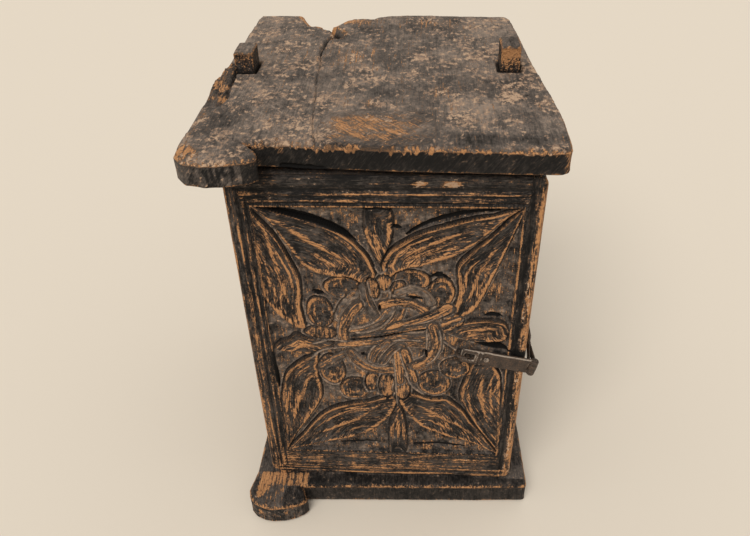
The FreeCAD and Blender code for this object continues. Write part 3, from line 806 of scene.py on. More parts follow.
def top_soot(x, y, board, broken):
    """Where the top board is black and deep: its cracks, pit, sockets and front wall."""
    up, walls = board.up, board.sides
    crack = fall(far_from(x, y, top_crack), 0.3, 1.1 + ramp(y, 30, 100))
    crevice = ramp(layered(x / 2.6, y / 14, 97, 2), 0.05, 0.4)
    socket = near_tenons(x, y, left_lean * (x < 0))
    return most(
        0.46 * walls * (y < -135) * (x > -112) + 0.12 * walls,
        up * crack * (0.55 + 0.35 * ramp(y, 10, 50)),
        broken * crevice * 0.8,
        up * fall(far_from(x, y, back_pit), 2, 6) * 0.8,
        up * fall(socket, 1.2, 3.5) * 0.9,
        up * fall(away(x, y, peg_hole), 1, 2.2))


def top_grain(x, y, z, board, hatch, front):
    """Grain along the board, slanting on its front wall and across in the hatched patch."""
    slant = np.column_stack([x - 0.7 * z, z, y])
    grain = np.where(front[:, None], slant, lying_grain(x, y, z, board.sides))
    cut_across = np.column_stack([0.7 * (x + y), 2.6 * (x - y), z])
    return np.where((board.up & (hatch > 0.2))[:, None], cut_across, grain)


def make_top_board():
    plan = np.clip(wavering(top_plan, 71, 0.8), top_low[:2] + 0.5, top_high[:2] - 0.8)
    mesh_step = 1.22
    board = slab(lines(top_low[0], top_high[0], mesh_step),
                 lines(top_low[1], top_high[1], mesh_step), plan, (), top_face - top_under,
                 top_surface, top_rim_drop, side=top_side, rows=15, under_drop=1.2)
    x, y, z = board.points.T
    front = board.sides & (y < -140)
    broken = board.up * (top_split(x, y) > 0) * ramp(y, -95, -60)
    hatch = spot(x, y, top_hatch, (44, 29), 4)
    # The chip's wall is painted black as the shadow inside it, and its rub is taken off.
    chip = ~board.up * front_chip(x, y, z)
    wear = top_wear(x, y, z, board, hatch, broken, front) * (1.0 - chip)
    dust, pale = top_dust(x, y, z, board, broken)
    soot = top_soot(x, y, board, broken) * (1.0 - 0.8 * np.clip(wear, 0, 1))
    finish_mesh("top_board_hewn", board.points + (0.0, 0.0, top_face), board.faces, "chest",
                "top_board", "carcass_wood",
                marks(board.points, top_grain(x, y, z, board, hatch, front), wear, dust, pale,
                      most(soot, 1.2 * chip)))


make_top_board()


# ---------------------------------------------------------------- door

door_gap_below = 4.0
door_gap_above = 6.0
door_low, door_high = box_mm("door")
door_left, door_right = door_low[0], door_high[0]
door_front, door_back = door_low[1], door_high[1]
door_bottom = base_top + door_gap_below
door_top = top_under - door_gap_above
door_width = door_right - door_left
door_height = door_top - door_bottom
door_thickness = door_back - door_front

# Edges of the carved field and of the plank's frame round it, from the door's left and top.
field_left, field_right = 20.0, 261.0
field_top, field_bottom = 26.0, 360.0
ground_left, ground_right = 22.4, 257.6
ground_top, ground_bottom = 30.2, 358.4
ground_depth = 5.6
field_floor = 12.0

# Leaves, in millimetres from the door's left edge and down from its top: how bare the root and
# the tip are, how bare the rim is, root, tip, the two edges and the veins along the leaf.
leaves = (
    ((0.27, 0.42), 1.00, (14, 22), (122, 112),
     ((43, 36), (63, 42), (90, 52), (107, 64), (115, 73), (122, 83), (126, 93), (129, 106)),
     ((37, 46), (45, 62), (53, 77), (58, 87), (63, 95), (73, 102), (87, 106), (101, 109),
      (112, 113)),
     (((30, 33), (45, 47), (57, 58), (70, 68), (83, 77), (97, 85), (107, 93), (113, 102),
       (120, 111)),
      ((76, 50), (90, 60), (104, 72), (113, 84), (119, 94)),
      ((58, 70), (70, 80), (86, 92), (100, 101)))),
    ((0.40, 0.50), 1.00, (259, 29), (138, 109),
     ((238, 37), (220, 41), (203, 46), (187, 51), (167, 59), (153, 68), (143, 77), (138, 85),
      (135, 94)),
     ((240, 45), (227, 60), (217, 70), (207, 77), (197, 84), (183, 89), (170, 94), (157, 97),
      (147, 104)),
     (((228, 48), (217, 53), (203, 59), (190, 65), (177, 72), (167, 77), (157, 83), (147, 92),
       (140, 102)),
      ((205, 66), (190, 74), (175, 82), (162, 88)),
      ((190, 57), (172, 66), (158, 74)))),
    ((0.42, 0.46), 0.90, (14, 22), (59, 172),
     ((25, 40), (40, 62), (50, 87), (57, 107), (58, 127), (56, 143), (57, 157)),
     ((18, 40), (21, 73), (21, 107), (22, 130), (28, 147), (40, 163), (52, 172)),
     (((23, 36), (32, 60), (34, 77), (37, 97), (39, 113), (43, 133), (47, 150), (53, 166)),
      ((36, 72), (45, 95), (50, 120), (52, 145)),
      ((25, 70), (28, 100), (32, 128), (40, 152)))),
    ((0.28, 0.38), 1.00, (259, 29), (198, 160),
     ((248, 42), (240, 52), (227, 67), (217, 77), (208, 87), (204, 97), (205, 110), (206, 123),
      (204, 137), (200, 150)),
     ((257, 40), (253, 53), (248, 70), (243, 87), (238, 103), (233, 118), (228, 133), (222, 145),
      (213, 153), (203, 161)),
     (((252, 45), (245, 57), (240, 68), (232, 85), (225, 98), (222, 113), (218, 127), (212, 138),
       (204, 150)),
      ((233, 75), (222, 88), (214, 100), (212, 120), (208, 138)),
      ((240, 80), (233, 96), (228, 112), (222, 130)))),
    ((0.50, 0.30), 0.80, (21, 360), (68, 207),
     ((22, 350), (23, 323), (23, 290), (25, 267), (28, 250), (33, 235), (43, 223), (57, 212)),
     ((28, 345), (37, 327), (47, 310), (57, 293), (65, 277), (68, 267), (68, 250), (66, 237),
      (67, 222)),
     (((27, 337), (33, 310), (40, 283), (50, 257), (56, 234)),
      ((33, 335), (43, 318), (50, 297), (58, 277)),
      ((25, 315), (28, 290), (34, 262), (43, 240)))),
    ((0.36, 0.44), 0.80, (21, 360), (144, 267),
     ((40, 335), (50, 320), (63, 301), (77, 289), (90, 283), (103, 279), (117, 276), (130, 270)),
     ((50, 350), (77, 341), (93, 336), (110, 329), (123, 318), (133, 307), (140, 297), (145, 284),
      (147, 274)),
     (((40, 343), (57, 332), (67, 327), (80, 320), (93, 312), (107, 304), (118, 293), (128, 283),
       (136, 274)),
      ((45, 338), (60, 320), (76, 305), (95, 294), (112, 286)),
      ((72, 333), (92, 326), (110, 317), (124, 305)))),
    ((0.40, 0.44), 0.90, (262, 360), (151, 268),
     ((250, 342), (237, 320), (228, 307), (223, 297), (217, 287), (208, 277), (200, 269),
      (190, 270), (180, 269), (168, 263), (158, 262)),
     ((250, 352), (237, 344), (220, 335), (203, 330), (190, 323), (180, 318), (170, 310),
      (162, 298), (155, 287), (150, 276)),
     (((245, 340), (233, 330), (223, 320), (210, 310), (197, 302), (183, 292), (170, 282),
       (158, 271)),
      ((225, 322), (212, 300), (200, 288), (185, 280)),
      ((222, 330), (203, 318), (188, 310), (172, 298)))),
    ((0.44, 0.40), 0.80, (262, 360), (232, 208),
     ((253, 343), (237, 317), (228, 300), (220, 283), (214, 270), (214, 257), (217, 243),
      (220, 230), (224, 218)),
     ((260, 340), (258, 317), (257, 290), (256, 267), (255, 250), (253, 233), (247, 221),
      (240, 212)),
     (((253, 330), (247, 313), (242, 297), (238, 277), (235, 257), (236, 240), (235, 217)),
      ((240, 318), (230, 296), (224, 275), (222, 255), (226, 232)),
      ((254, 316), (249, 292), (246, 268), (245, 244), (241, 222)))),
)

# Tongues between the leaves, drawn like leaves with a blunt root.
tongues = (
    ((0.32, 0.44), 0.20, (133, 29), (133, 93),
     ((124, 31), (121, 36), (120, 46), (121, 60), (125, 74), (129, 86)),
     ((142, 31), (145, 36), (146, 46), (145, 60), (141, 74), (136, 86)),
     (((133, 60), (133, 74), (133, 90)),
      ((124, 36), (124, 56), (129, 80)),
      ((142, 34), (142, 56), (137, 78)),
      ((129, 50), (130, 68), (131, 84)))),
    ((0.16, 0.40), 0.00, (148, 360), (148, 280),
     ((143, 360), (139, 359), (138, 350), (138, 335), (139, 318), (141, 302), (144, 288)),
     ((153, 360), (157, 359), (158, 350), (158, 333), (157, 317), (155, 300), (152, 287)),
     (((148, 345), (148, 320), (148, 295)),
      ((142, 346), (142, 320), (145, 300)),
      ((154, 346), (154, 320), (151, 300)))),
    ((0.46, 0.44), 0.50, (25, 197), (92, 191),
     ((31, 191), (41, 187), (47, 181), (62, 186), (77, 189)),
     ((29, 203), (41, 204), (57, 207), (70, 201), (83, 194)),
     (((32, 197), (50, 196), (70, 194)),
      ((48, 188), (60, 191), (74, 192)))),
    ((0.48, 0.44), 0.35, (257, 172), (190, 173),
     ((252, 162), (237, 159), (223, 160), (210, 163), (197, 170)),
     ((254, 183), (243, 186), (227, 187), (210, 182), (197, 177)),
     (((250, 168), (230, 171), (208, 172)),
      ((248, 178), (228, 179), (208, 177)))),
)

# Petals about the knot: middle, half width, half height, turn in degrees and the stretch of
# their rim that is rubbed bare, as angles from the right, turning upwards.
petals = (
    ((97, 120), 17, 12, 0, (60, 220)), ((163, 110), 17, 11, -8, (-60, 130)),
    ((190, 126), 12, 18, -6, (-80, 200)), ((74, 152), 13, 19, 8, (70, 230)),
    ((73, 178), 15, 8, -6, (180, 380)), ((81, 229), 13, 20, 8, (130, 360)),
    ((104, 256), 16, 15, 20, (90, 330)), ((122, 246), 7, 13, -6, (60, 300)),
    ((186, 246), 16, 17, 10, (160, 400)), ((207, 224), 14, 14, 0, (-150, 80)),
    ((203, 160), 10, 8, -8, (-60, 150)), ((137, 114), 7, 9, 0, (0, 360)),
    ((126, 121), 6, 12, 10, (20, 120)), ((150, 121), 7, 9, -20, (20, 160)),
    ((137, 252), 8, 17, 0, (170, 380)), ((153, 256), 8, 16, 0, (180, 370)),
)

# Bands of the knot, lowest first: how far the top lies below the door's face, width, how bare,
# how dusty, and the line that the band follows.
bands = (
    (3.4, 8, 0.25, 0.6, ((116, 121), (119, 140), (127, 158))),
    (3.2, 9, 0.20, 0.8, ((150, 127), (163, 122), (175, 128), (181, 139))),
    (3, 9, 0.40, 0.6, ((70, 226), (88, 213), (104, 205), (118, 199), (133, 193))),
    (2.8, 11, 0.46, 0.5, ((101, 206), (108, 219), (121, 228), (143, 230))),
    (2.4, 10, 0.16, 0.8, ((108, 130), (99, 143), (92, 158))),
    (2.4, 9, 0.40, 0.6, ((144, 138), (141, 150), (131, 163), (118, 172), (104, 176))),
    (2.2, 9, 0.42, 0.5, ((153, 147), (148, 160), (138, 171), (123, 179), (106, 183))),
    (2.2, 11, 0.56, 0.3, ((135, 142), (150, 138), (165, 141), (176, 149))),
    (1.8, 13, 0.56, 0.3, ((197, 146), (183, 155), (170, 162), (153, 169), (143, 174))),
    (2, 6, 0.40, 0.6, ((209, 158), (193, 166), (178, 171), (163, 174))),
    (1.8, 6, 0.42, 0.5, ((103, 184), (123, 181), (143, 177), (163, 171), (183, 167))),
    (1.6, 11, 0.52, 0.4, ((111, 142), (104, 152), (98, 165), (95, 178), (96, 189))),
    (1.8, 9, 0.46, 0.5, ((91, 194), (112, 192), (133, 189), (150, 185), (167, 184), (182, 182))),
    (2.2, 8, 0.50, 0.4, ((148, 194), (162, 192), (174, 193), (184, 192))),
    (2, 10, 0.48, 0.5, ((139, 192), (128, 203), (123, 217))),
    (1.7, 9, 0.48, 0.5, ((152, 195), (141, 206), (134, 219))),
    (1.5, 9, 0.62, 0.3, ((148, 204), (150, 223), (151, 245))),
    (1.5, 9, 0.60, 0.3, ((156, 202), (161, 223), (166, 243))),
    (1.3, 12, 0.56, 0.3, ((184, 168), (188, 187), (185, 203), (179, 214), (168, 222))),
)

# Thin grey ridges between the cuts of the knot.
lips = (
    ((138, 150), (132, 160), (121, 167), (112, 171), (102, 172)),
    ((147, 146), (142, 159), (134, 169), (124, 175), (114, 178), (104, 178)),
    ((132, 191), (124, 198), (120, 207), (119, 216), (127, 220)),
    ((150, 188), (143, 193), (137, 201), (131, 210), (128, 217)),
    ((154, 196), (148, 201), (142, 209), (139, 216), (134, 221), (125, 220)),
    ((104, 203), (113, 216), (123, 223), (134, 224), (142, 221)),
    ((177, 170), (178, 187), (177, 203)),
    ((194, 152), (186, 158), (174, 163), (163, 166), (152, 168)),
    ((189, 170), (192, 185), (191, 198), (186, 211), (176, 222)),
    ((150, 201), (153, 214), (157, 231), (161, 248), (169, 259), (180, 267)),
    ((145, 209), (146, 237), (147, 264), (148, 284)),
    ((143, 188), (154, 186), (176, 188)), ((91, 168), (90, 178), (91, 187)),
    ((152, 123), (163, 118), (176, 124), (184, 135), (186, 142)),
    ((100, 128), (92, 139), (86, 153)), ((128, 96), (134, 104), (140, 96)),
    ((121, 110), (124, 128), (130, 146), (134, 158)), ((143, 124), (142, 134)),
    ((62, 193), (80, 188), (100, 190)), ((58, 215), (72, 203), (88, 199), (104, 196)),
    ((196, 175), (212, 183), (228, 190), (240, 193)), ((193, 187), (203, 196), (212, 204)),
)

# Deep cuts, blackened as dirt and painted shade: width, depth and line.
cuts = (
    (7, 3.6, ((28, 31), (46, 35), (66, 41), (84, 48), (99, 56), (112, 67))),
    (4.6, 2.8, ((238, 34), (222, 35), (202, 39), (184, 45), (168, 53), (158, 61))),
    (2.6, 4.5, ((103, 188), (120, 185), (133, 183), (147, 179), (160, 176), (176, 173))),
    (3.5, 3, ((69, 127), (80, 129))), (3.5, 3, ((180, 107), (189, 105), (198, 109))),
    (2.4, 3, ((22, 205), (22, 222), (23, 240), (23, 256))),
    # The wide cut from (226, 190) to (259, 197) lies just above the strap; its black is the strap's
    # shadow, painted in.
    (11, 3.4, ((226, 190), (243, 193), (259, 197))), (4, 2.5, ((112, 207), (115, 210))),
    (2.2, 3, ((177, 200), (178, 209))), (1.8, 3, ((132, 142), (132, 150))),
    (4.5, 2.5, ((233, 155), (241, 153), (249, 156))), (3.5, 2, ((145, 51), (153, 54))),
    (2, 2, ((120, 33), (132, 31), (143, 33))), (3, 2, ((160, 132), (172, 134))),
    (2.2, 1.6, ((84, 348), (110, 346), (128, 347))),
    (2.2, 1.6, ((166, 348), (195, 347), (222, 350))), (1.6, 2, ((214, 330), (216, 338))),
)


def on_door(points):
    """Places across and down on the door, as x and z."""
    p = np.array(points, float)
    return np.column_stack([door_left + p[:, 0], door_top - p[:, 1]])


class Relief:
    """Carved face: height in front of the plank's face, marks and the direction of the cuts."""

    def __init__(self, xs, zs):
        self.xs, self.zs = xs, zs
        self.x, self.z = np.meshgrid(xs, zs, indexing="ij")
        self.height, self.wear, self.dust, self.soot = np.zeros((4,) + self.x.shape)
        self.across = self.x.copy()
        self.along = 2.5 * self.z
        self.raised = np.zeros(self.x.shape, bool)

    def window(self, curve, reach):
        """The part of the face within reach of a curve."""
        x0, z0 = curve.min(axis=0) - reach
        x1, z1 = curve.max(axis=0) + reach
        return (slice(*np.searchsorted(self.xs, (x0, x1))),
                slice(*np.searchsorted(self.zs, (z0, z1))))

    def lay(self, window, where, **fields):
        """Gives the chosen places of a window new values."""
        for name, values in fields.items():
            field = getattr(self, name)
            field[window] = np.where(where, values, field[window])

    def sample(self, field, x, z):
        """Value of a field at any places, between its grid lines."""
        i = np.clip(np.searchsorted(self.xs, x) - 1, 0, len(self.xs) - 2)
        j = np.clip(np.searchsorted(self.zs, z) - 1, 0, len(self.zs) - 2)
        u = np.clip((x - self.xs[i]) / (self.xs[i + 1] - self.xs[i]), 0.0, 1.0)
        v = np.clip((z - self.zs[j]) / (self.zs[j + 1] - self.zs[j]), 0.0, 1.0)
        low = field[i, j] * (1 - u) + field[i + 1, j] * u
        high = field[i, j + 1] * (1 - u) + field[i + 1, j + 1] * u
        return low * (1 - v) + high * v


def lay_ground(r):
    """Sunk ground of the field: rough, dusty and deepest away from the frame."""
    a, b = r.x - door_left, door_top - r.z
    rim = np.minimum(np.minimum(a - ground_left, ground_right - a),
                     np.minimum(b - ground_top, ground_bottom - b))
    chisel = layered(r.x / 5, r.z / 9, 101) * 0.7 + layered(r.x / 2, r.z / 2.8, 102) * 0.45
    r.height[:] = -ramp(rim, -0.3, 1.2) * (ground_depth - 1.8 + 1.8 * ramp(rim, 0, 12))
    r.height += ramp(rim, 0, 1.5) * chisel
    pocket = layered(r.x / 10, r.z / 10, 103) + layered(r.x / 3.6, r.z / 4.4, 106)
    r.dust[:] = ramp(rim, -0.5, 0.8) * (0.40 + 0.40 * pocket)
    r.wear[:] = stripe(rim + 1, 0.9) * (0.60 + 0.42 * layered(r.x / 14, r.z / 14, 104))
    r.wear += ramp(rim, 0.5, 2.5) * (0.27 + 0.3 * layered(r.x / 9, r.z / 9, 105)
                                     + 0.16 * layered(r.x / 2.6, r.z / 3.4, 107))
    r.rim = rim


def fill_knot(r):
    """Raised middle that the petals and bands are cut from."""
    middle, radius = on_door(((138.0, 184.0),))[0], 76.0
    reach = away(r.x, r.z, middle) / radius + 0.08 * layered(r.x / 18, r.z / 18, 111)
    inner = fall(reach, 0.86, 1)
    for field, level in (
            (r.height, -3.6 + 0.9 * layered(r.x / 7, r.z / 7, 112)),
            (r.wear, 0.40 + 0.3 * layered(r.x / 5, r.z / 7, 113)),
            (r.dust, 0.40 + 0.6 * layered(r.x / 9, r.z / 9, 114))):
        field[:] = field * (1.0 - inner) + level * inner


def carve_vein(x, z, vein, k, seed):
    """Ridge of a leaf's vein and how it is rubbed; the first vein is the strongest."""
    strength = 1.0 if k == 0 else (0.62 if k == 1 else 0.55)
    far, share, _ = trace(x, z, smooth_curve(on_door(vein), 6))
    half = (2.3 if k == 0 else 1.6) * (
        0.6 + 0.7 * np.sin(math.pi * np.clip(share, 0.05, 0.95))
        + 0.5 * layered(share * 9, share * 0, seed + 11 + k))
    ridge = stripe(far, half) * np.sin(math.pi * np.clip(share, 0.1, 0.9))
    rubbed = ridge * (0.60 + 0.20 * strength) * (
        1.0 + 0.30 * layered(share * 12, share * 0 + k, seed + 21))
    return ridge * 1.5 * strength, rubbed


def carve_leaf(r, leaf, seed):
    """Hollow leaf with a rubbed rim and veins, a moat round it and a lip of ground beyond."""
    (at_root, at_tip), bare_rim, root, tip, edge_a, edge_b, veins = leaf
    one, other = (smooth_curve(on_door((root, *edge, tip)), 5) for edge in (edge_a, edge_b))
    ring = np.vstack([one, other[::-1][1:-1]])
    w = r.window(ring, 6.0)
    x, z = r.x[w], r.z[w]
    inside = within(x, z, ring)
    far_a, share_a, _ = trace(x, z, one)
    far_b, share_b, _ = trace(x, z, other)
    edge = np.minimum(far_a, far_b)
    width = far_a + far_b
    t = far_a / most(width, 1e-6)
    s = (share_a * far_b + share_b * far_a) / most(width, 1e-6)
    length = np.hypot(*(one[-1] - one[0]))

    hollow = np.clip(width / 34.0, 0.12, 1.0)
    height = -0.9 - 3.0 * hollow * ramp(edge, 0.4, 9)
    height += 0.6 * layered(t * width / 2.2, s * length / 24, seed, 2)
    wear = at_root + (at_tip - at_root) * ramp(s, 0.2, 0.85) - 0.12
    wear = wear + 0.20 * layered(t * width / 2, s * length / 26, seed + 3, 2)
    wear = wear + 0.16 * layered(x / 15, z / 15, seed + 5)
    rim_width = (0.8 + 1.9 * ramp(s, 0.2, 0.8)) * (
        1.0 + 0.7 * layered(s * length / 9, t * 2, seed + 7))
    rim = fall(np.abs(edge - 0.5 - rim_width * 0.6), rim_width * 0.3, rim_width + 0.5)
    dark_root = ramp(s, 0.05, 0.45) if at_root < at_tip - 0.14 else 1.0
    wear = most(wear, rim * bare_rim * (0.62 + 0.38 * dark_root) * (
        0.76 + 0.36 * layered(s * length / 9, t * 3, seed + 8)))
    for k, vein in enumerate(veins):
        ridge, rubbed = carve_vein(x, z, vein, k, seed)
        height += ridge
        wear = most(wear, rubbed)

    near = np.clip(1.0 - (edge / 2.0), 0.0, 1.0)
    free = (~inside) & (~r.raised[w]) & (r.rim[w] > 0.5)
    moat = free & (edge < 2)
    clear = min(1.0, 1.3 * bare_rim)
    # The moat beside the leaf is sunk and darkened with painted shade.
    r.lay(w, moat, height=r.height[w] - 1.2 * clear * near,
          soot=most(r.soot[w], 0.5 * clear * near))
    lip = stripe(edge - 2.1, 0.9) * free * ramp(s, 0.05, 0.2) * clear
    lip = lip * (0.75 + 0.5 * layered(s * length / 12, t, seed + 41))
    r.height[w] += 1.7 * lip
    r.dust[w] = most(r.dust[w], 1.1 * lip)
    r.wear[w] *= 1.0 - 0.7 * np.clip(lip, 0, 1)
    body = inside & (r.rim[w] > -0.4)
    r.lay(w, body, height=height * ramp(r.rim[w], -0.4, 2), wear=wear * ramp(edge, 0, 0.7),
          dust=0.12 + 0.26 * layered(x / 9, z / 14, seed + 31), soot=0.0,
          across=t * width + seed * 37.0, along=s * length + seed * 53.0)
    r.raised[w] |= body


def carve_petal(r, petal, seed):
    """Oval petal with a curled, half rubbed rim and a moat and a lip round it."""
    centre, half_a, half_b, turn, (rub_from, rub_to) = petal
    centre = on_door((centre,))[0]
    w = r.window(np.array([centre]), max(half_a, half_b) + 5.0)
    c, s = math.cos(math.radians(turn)), math.sin(math.radians(turn))
    dx, dz = r.x[w] - centre[0], r.z[w] - centre[1]
    u, v = (dx * c + dz * s) / half_a, (-dx * s + dz * c) / half_b
    angle = np.degrees(np.arctan2(v, u))
    radius = np.hypot(u, v) * (1.0 + 0.07 * layered(angle / 50, angle * 0, seed + 9))
    small = min(half_a, half_b)
    edge = (1.0 - radius) * small
    inside = edge > 0
    turned_by = np.mod(angle - rub_from, 360.0) / (rub_to - rub_from)
    rubbed = ramp(turned_by, 0, 0.15) * fall(turned_by, 0.85, 1)
    if small <= 8:
        height = -1.4 - 0.7 * radius**2
        wear = 0.58 + 0.4 * layered(dx / 3, dz / 7, seed + 2) - 0.2 * (radius > 0.85)
    else:
        curl = stripe(edge - small * 0.55, 1.2) * ramp(turned_by, 0.1, 0.5) * (
            fall(turned_by, 0.7, 1.1))
        height = -1.7 - 1.8 * ramp(edge, 1, small * 0.6)
        height += 0.6 * layered(dx / 3, dz / 4, seed)
        height += 1.0 * curl
        rim_width = (0.5 + 1.1 * rubbed) * (
            1.0 + 0.6 * layered(angle / 30, angle * 0, seed + 4))
        rim = fall(np.abs(edge - 0.6 - rim_width * 0.6), rim_width * 0.3, rim_width + 0.5)
        wear = most(
            rim * (0.34 + 0.44 * rubbed) * (1.0 + 0.3 * layered(dx / 4, dz / 4, seed + 1)),
            0.27 + 0.42 * layered(dx / 3, dz / 4, seed + 2),
            curl * 0.64)
    lip = stripe(edge + 1.9, 0.8) * ~inside * ~r.raised[w]
    lip = lip * (0.8 + 0.5 * layered(angle / 40, angle * 0, seed + 6))
    moat = (~inside) & (edge > -1.1)
    deep = -4.6
    # The moat round the petal is sunk and darkened with painted shade.
    r.lay(w, moat, height=np.minimum(r.height[w], deep), soot=0.55)
    r.height[w] = most(r.height[w], deep + 2.6 * lip)
    r.dust[w] = most(r.dust[w], 1.1 * lip)
    r.wear[w] = np.where(moat, 0.0, r.wear[w] * (1.0 - 0.8 * np.clip(lip, 0, 1)))
    r.lay(w, inside, height=height, wear=wear, soot=0.0, across=r.x[w], along=3.0 * r.z[w],
          dust=0.18 + 0.36 * layered(dx / 6, dz / 6, seed + 3))


def carve_band(r, band, seed):
    """Rounded band of the knot, with a moat on both sides darkened with painted shade."""
    depth, width, bare, dusty, points = band
    line = smooth_curve(on_door(points), 6)
    w = r.window(line, width)
    x, z = r.x[w], r.z[w]
    far, share, side = trace(x, z, line)
    run = share * np.hypot(*np.diff(line, axis=0).T).sum()
    half = width / 2.0 * (1.0 + 0.22 * layered(share * 6, side * 3, seed))
    inside = far < half
    height = -depth - 1.2 + 1.2 * np.sqrt(np.clip(1.0 - (far / half) ** 2, 0.0, 1.0))
    height += 0.5 * layered(far * side / 1.8, run / 14, seed + 1, 2)
    wear = bare + 0.42 * layered(far * side / 1.8, run / 13, seed + 2, 2)
    wear = wear + 0.16 * layered(run / 9, side * 2, seed + 5)
    moat_width = 1.5
    gap = (far - half) / moat_width
    # The moat is sunk and darkened with painted shade.
    r.lay(w, ~inside & (far < half + moat_width), soot=0.6 * (1.0 - gap), dust=0.9, wear=0.0,
          height=np.minimum(r.height[w], -depth - 2.6 + gap))
    r.lay(w, inside, height=height, wear=wear * ramp(half - far, 0.1, 1.2), soot=0.0,
          dust=dusty * (0.75 + 0.6 * layered(x / 3.6, z / 3.6, seed + 3)),
          across=far * side + seed * 41.0, along=run + seed * 59.0)


def carve_lip(r, points, seed):
    """Thin ridge left between two cuts, rubbed to a dusty grey."""
    line = smooth_curve(on_door(points), 6)
    w = r.window(line, 4.0)
    far, share, _ = trace(r.x[w], r.z[w], line)
    half = 1.0 + 0.45 * layered(share * 9, share * 0, seed)
    lip = stripe(far, half) * ramp(np.sin(math.pi * share), 0, 0.25)
    ridge = np.where(lip > 0.15, -5.0 + 3.7 * lip, -field_floor)
    r.height[w] = most(r.height[w], ridge)
    r.dust[w] = most(r.dust[w] * (1.0 - lip), 1.15 * lip)
    r.wear[w] *= 1.0 - 0.9 * lip
    r.soot[w] *= 1.0 - lip


def carve_cut(r, cut, seed):
    """Deep cut that runs out at both ends, blackened as dirt and painted shade."""
    width, depth, points = cut
    line = smooth_curve(on_door(points), 6)
    w = r.window(line, width)
    far, share, _ = trace(r.x[w], r.z[w], line)
    half = width / 2.0 * np.sin(math.pi * np.clip(share, 0.03, 0.97)) ** 0.7
    half = half * (1.0 + 0.25 * layered(share * 8, share * 0, seed))
    inner = fall(far, half * 0.3, half + 0.9)
    r.height[w] -= inner * depth
    r.soot[w] = most(r.soot[w], 1.2 * ramp(inner, 0, 0.5))
    r.wear[w] *= 1.0 - inner


def blurred(field, reach):
    """Mean of a field over a square about each grid place, taken twice."""
    for _ in range(2):
        for axis in (0, 1):
            total = np.zeros(field.shape)
            for k in range(-reach, reach + 1):
                total += np.roll(field, k, axis)
            field = total / (2 * reach + 1)
    return field


def carved_field():
    """The whole carving, from its ground up, then its tool marks, rubbed edges and painted shade in
    its dips.
    """
    step = 0.95
    r = Relief(lines(door_left + field_left, door_left + field_right, step),
               lines(door_top - field_bottom, door_top - field_top, step))
    lay_ground(r)
    fill_knot(r)
    for carve, group, first_seed, seed_step in (
            (carve_leaf, leaves + tongues, 200, 60), (carve_petal, petals, 1000, 10),
            (carve_band, bands, 1300, 10), (carve_lip, lips, 1600, 10),
            (carve_cut, cuts, 1900, 10)):
        for k, figure in enumerate(group):
            carve(r, figure, first_seed + seed_step * k)
    r.height += layered(r.x / 2.1, r.z / 3.4, 1500, 2) * 0.20
    r.height += 0.22 * layered(r.x / 30, r.z / 40, 1501)
    r.height = np.minimum(r.height, -0.05)
    # Places lying below their blurred surroundings are darkened as painted shade and lose their
    # rub; raised ones are rubbed a little more.
    proud = r.height - blurred(r.height, 2)
    r.wear += 0.13 * ramp(proud, 0.1, 1.1) * (r.wear > 0.02)
    r.soot = most(r.soot, 0.62 * ramp(-proud, 0.4, 1.5))
    r.wear *= 1.0 - 0.8 * ramp(-proud, 0.35, 1.2)
    r.wear = np.minimum(r.wear, 0.70 + 0.16 * layered(r.x / 3, r.z / 5, 1502))
    return r


def face_point(x, z, depth):
    """World place for a point on the door; depth is negative behind its face."""
    return np.column_stack([x, door_front - depth, z])


def make_door_carving():
    r = carved_field()
    board = slab(r.xs, r.zs, rectangle(r.xs[0], r.xs[-1], r.zs[0], r.zs[-1]), (),
                 field_floor - 0.5, lambda x, z, edge: r.sample(r.height, x, z),
                 lambda x, z: np.zeros(len(x)), rows=3, under_drop=0.5)
    x, z, depth = board.points.T
    wear, dust, soot = (board.up * r.sample(field, x, z) for field in (r.wear, r.dust, r.soot))
    grain = np.column_stack([r.sample(r.across, x, z), r.sample(r.along, x, z), depth])
    pale = 0.72 * np.clip(dust - 0.28, 0.0, 1.0)
    finish_mesh("door_carving", face_point(x, z, depth), board.faces, "door", "door",
                "door_wood", marks(board.points, grain, wear, dust, pale, soot))


# Lines of the frame, across or down from the door's left or top: place, width, height and wear.
left_lines = ((1.5, 2.6, 0, 0.54), (8.6, 2.4, 0.5, 0.58), (12.2, 2.8, -1.3, 0),
              (15.6, 2, 0.4, 0.54), (18.4, 2, -1.1, 0), (20.8, 1.8, 0.2, 0.60))
right_lines = ((258.6, 2, 0.3, 0.70), (265, 5.4, -1.7, 0), (272, 6, 0.4, 0.60))
top_lines = ((13, 4, -1.3, 0), (17.4, 2.6, 0.6, 0.64), (20.2, 2, -0.9, 0),
             (24, 3.4, 0.6, 0.22), (26.4, 1.6, -0.9, 0), (28.4, 2, 0.4, 0.66))
bottom_lines = ((361.6, 2.2, 0.4, 0.68), (366.5, 3.4, -1.2, 0), (371, 3.4, 0.4, 0.70),
                (375.5, 1.8, -0.8, 0), (379, 3.2, 0.3, 0.68), (383, 2, -0.8, 0),
                (387, 4, 0.4, 0.70), (392, 2, -0.6, 0), (396, 4, 0.2, 0.62))


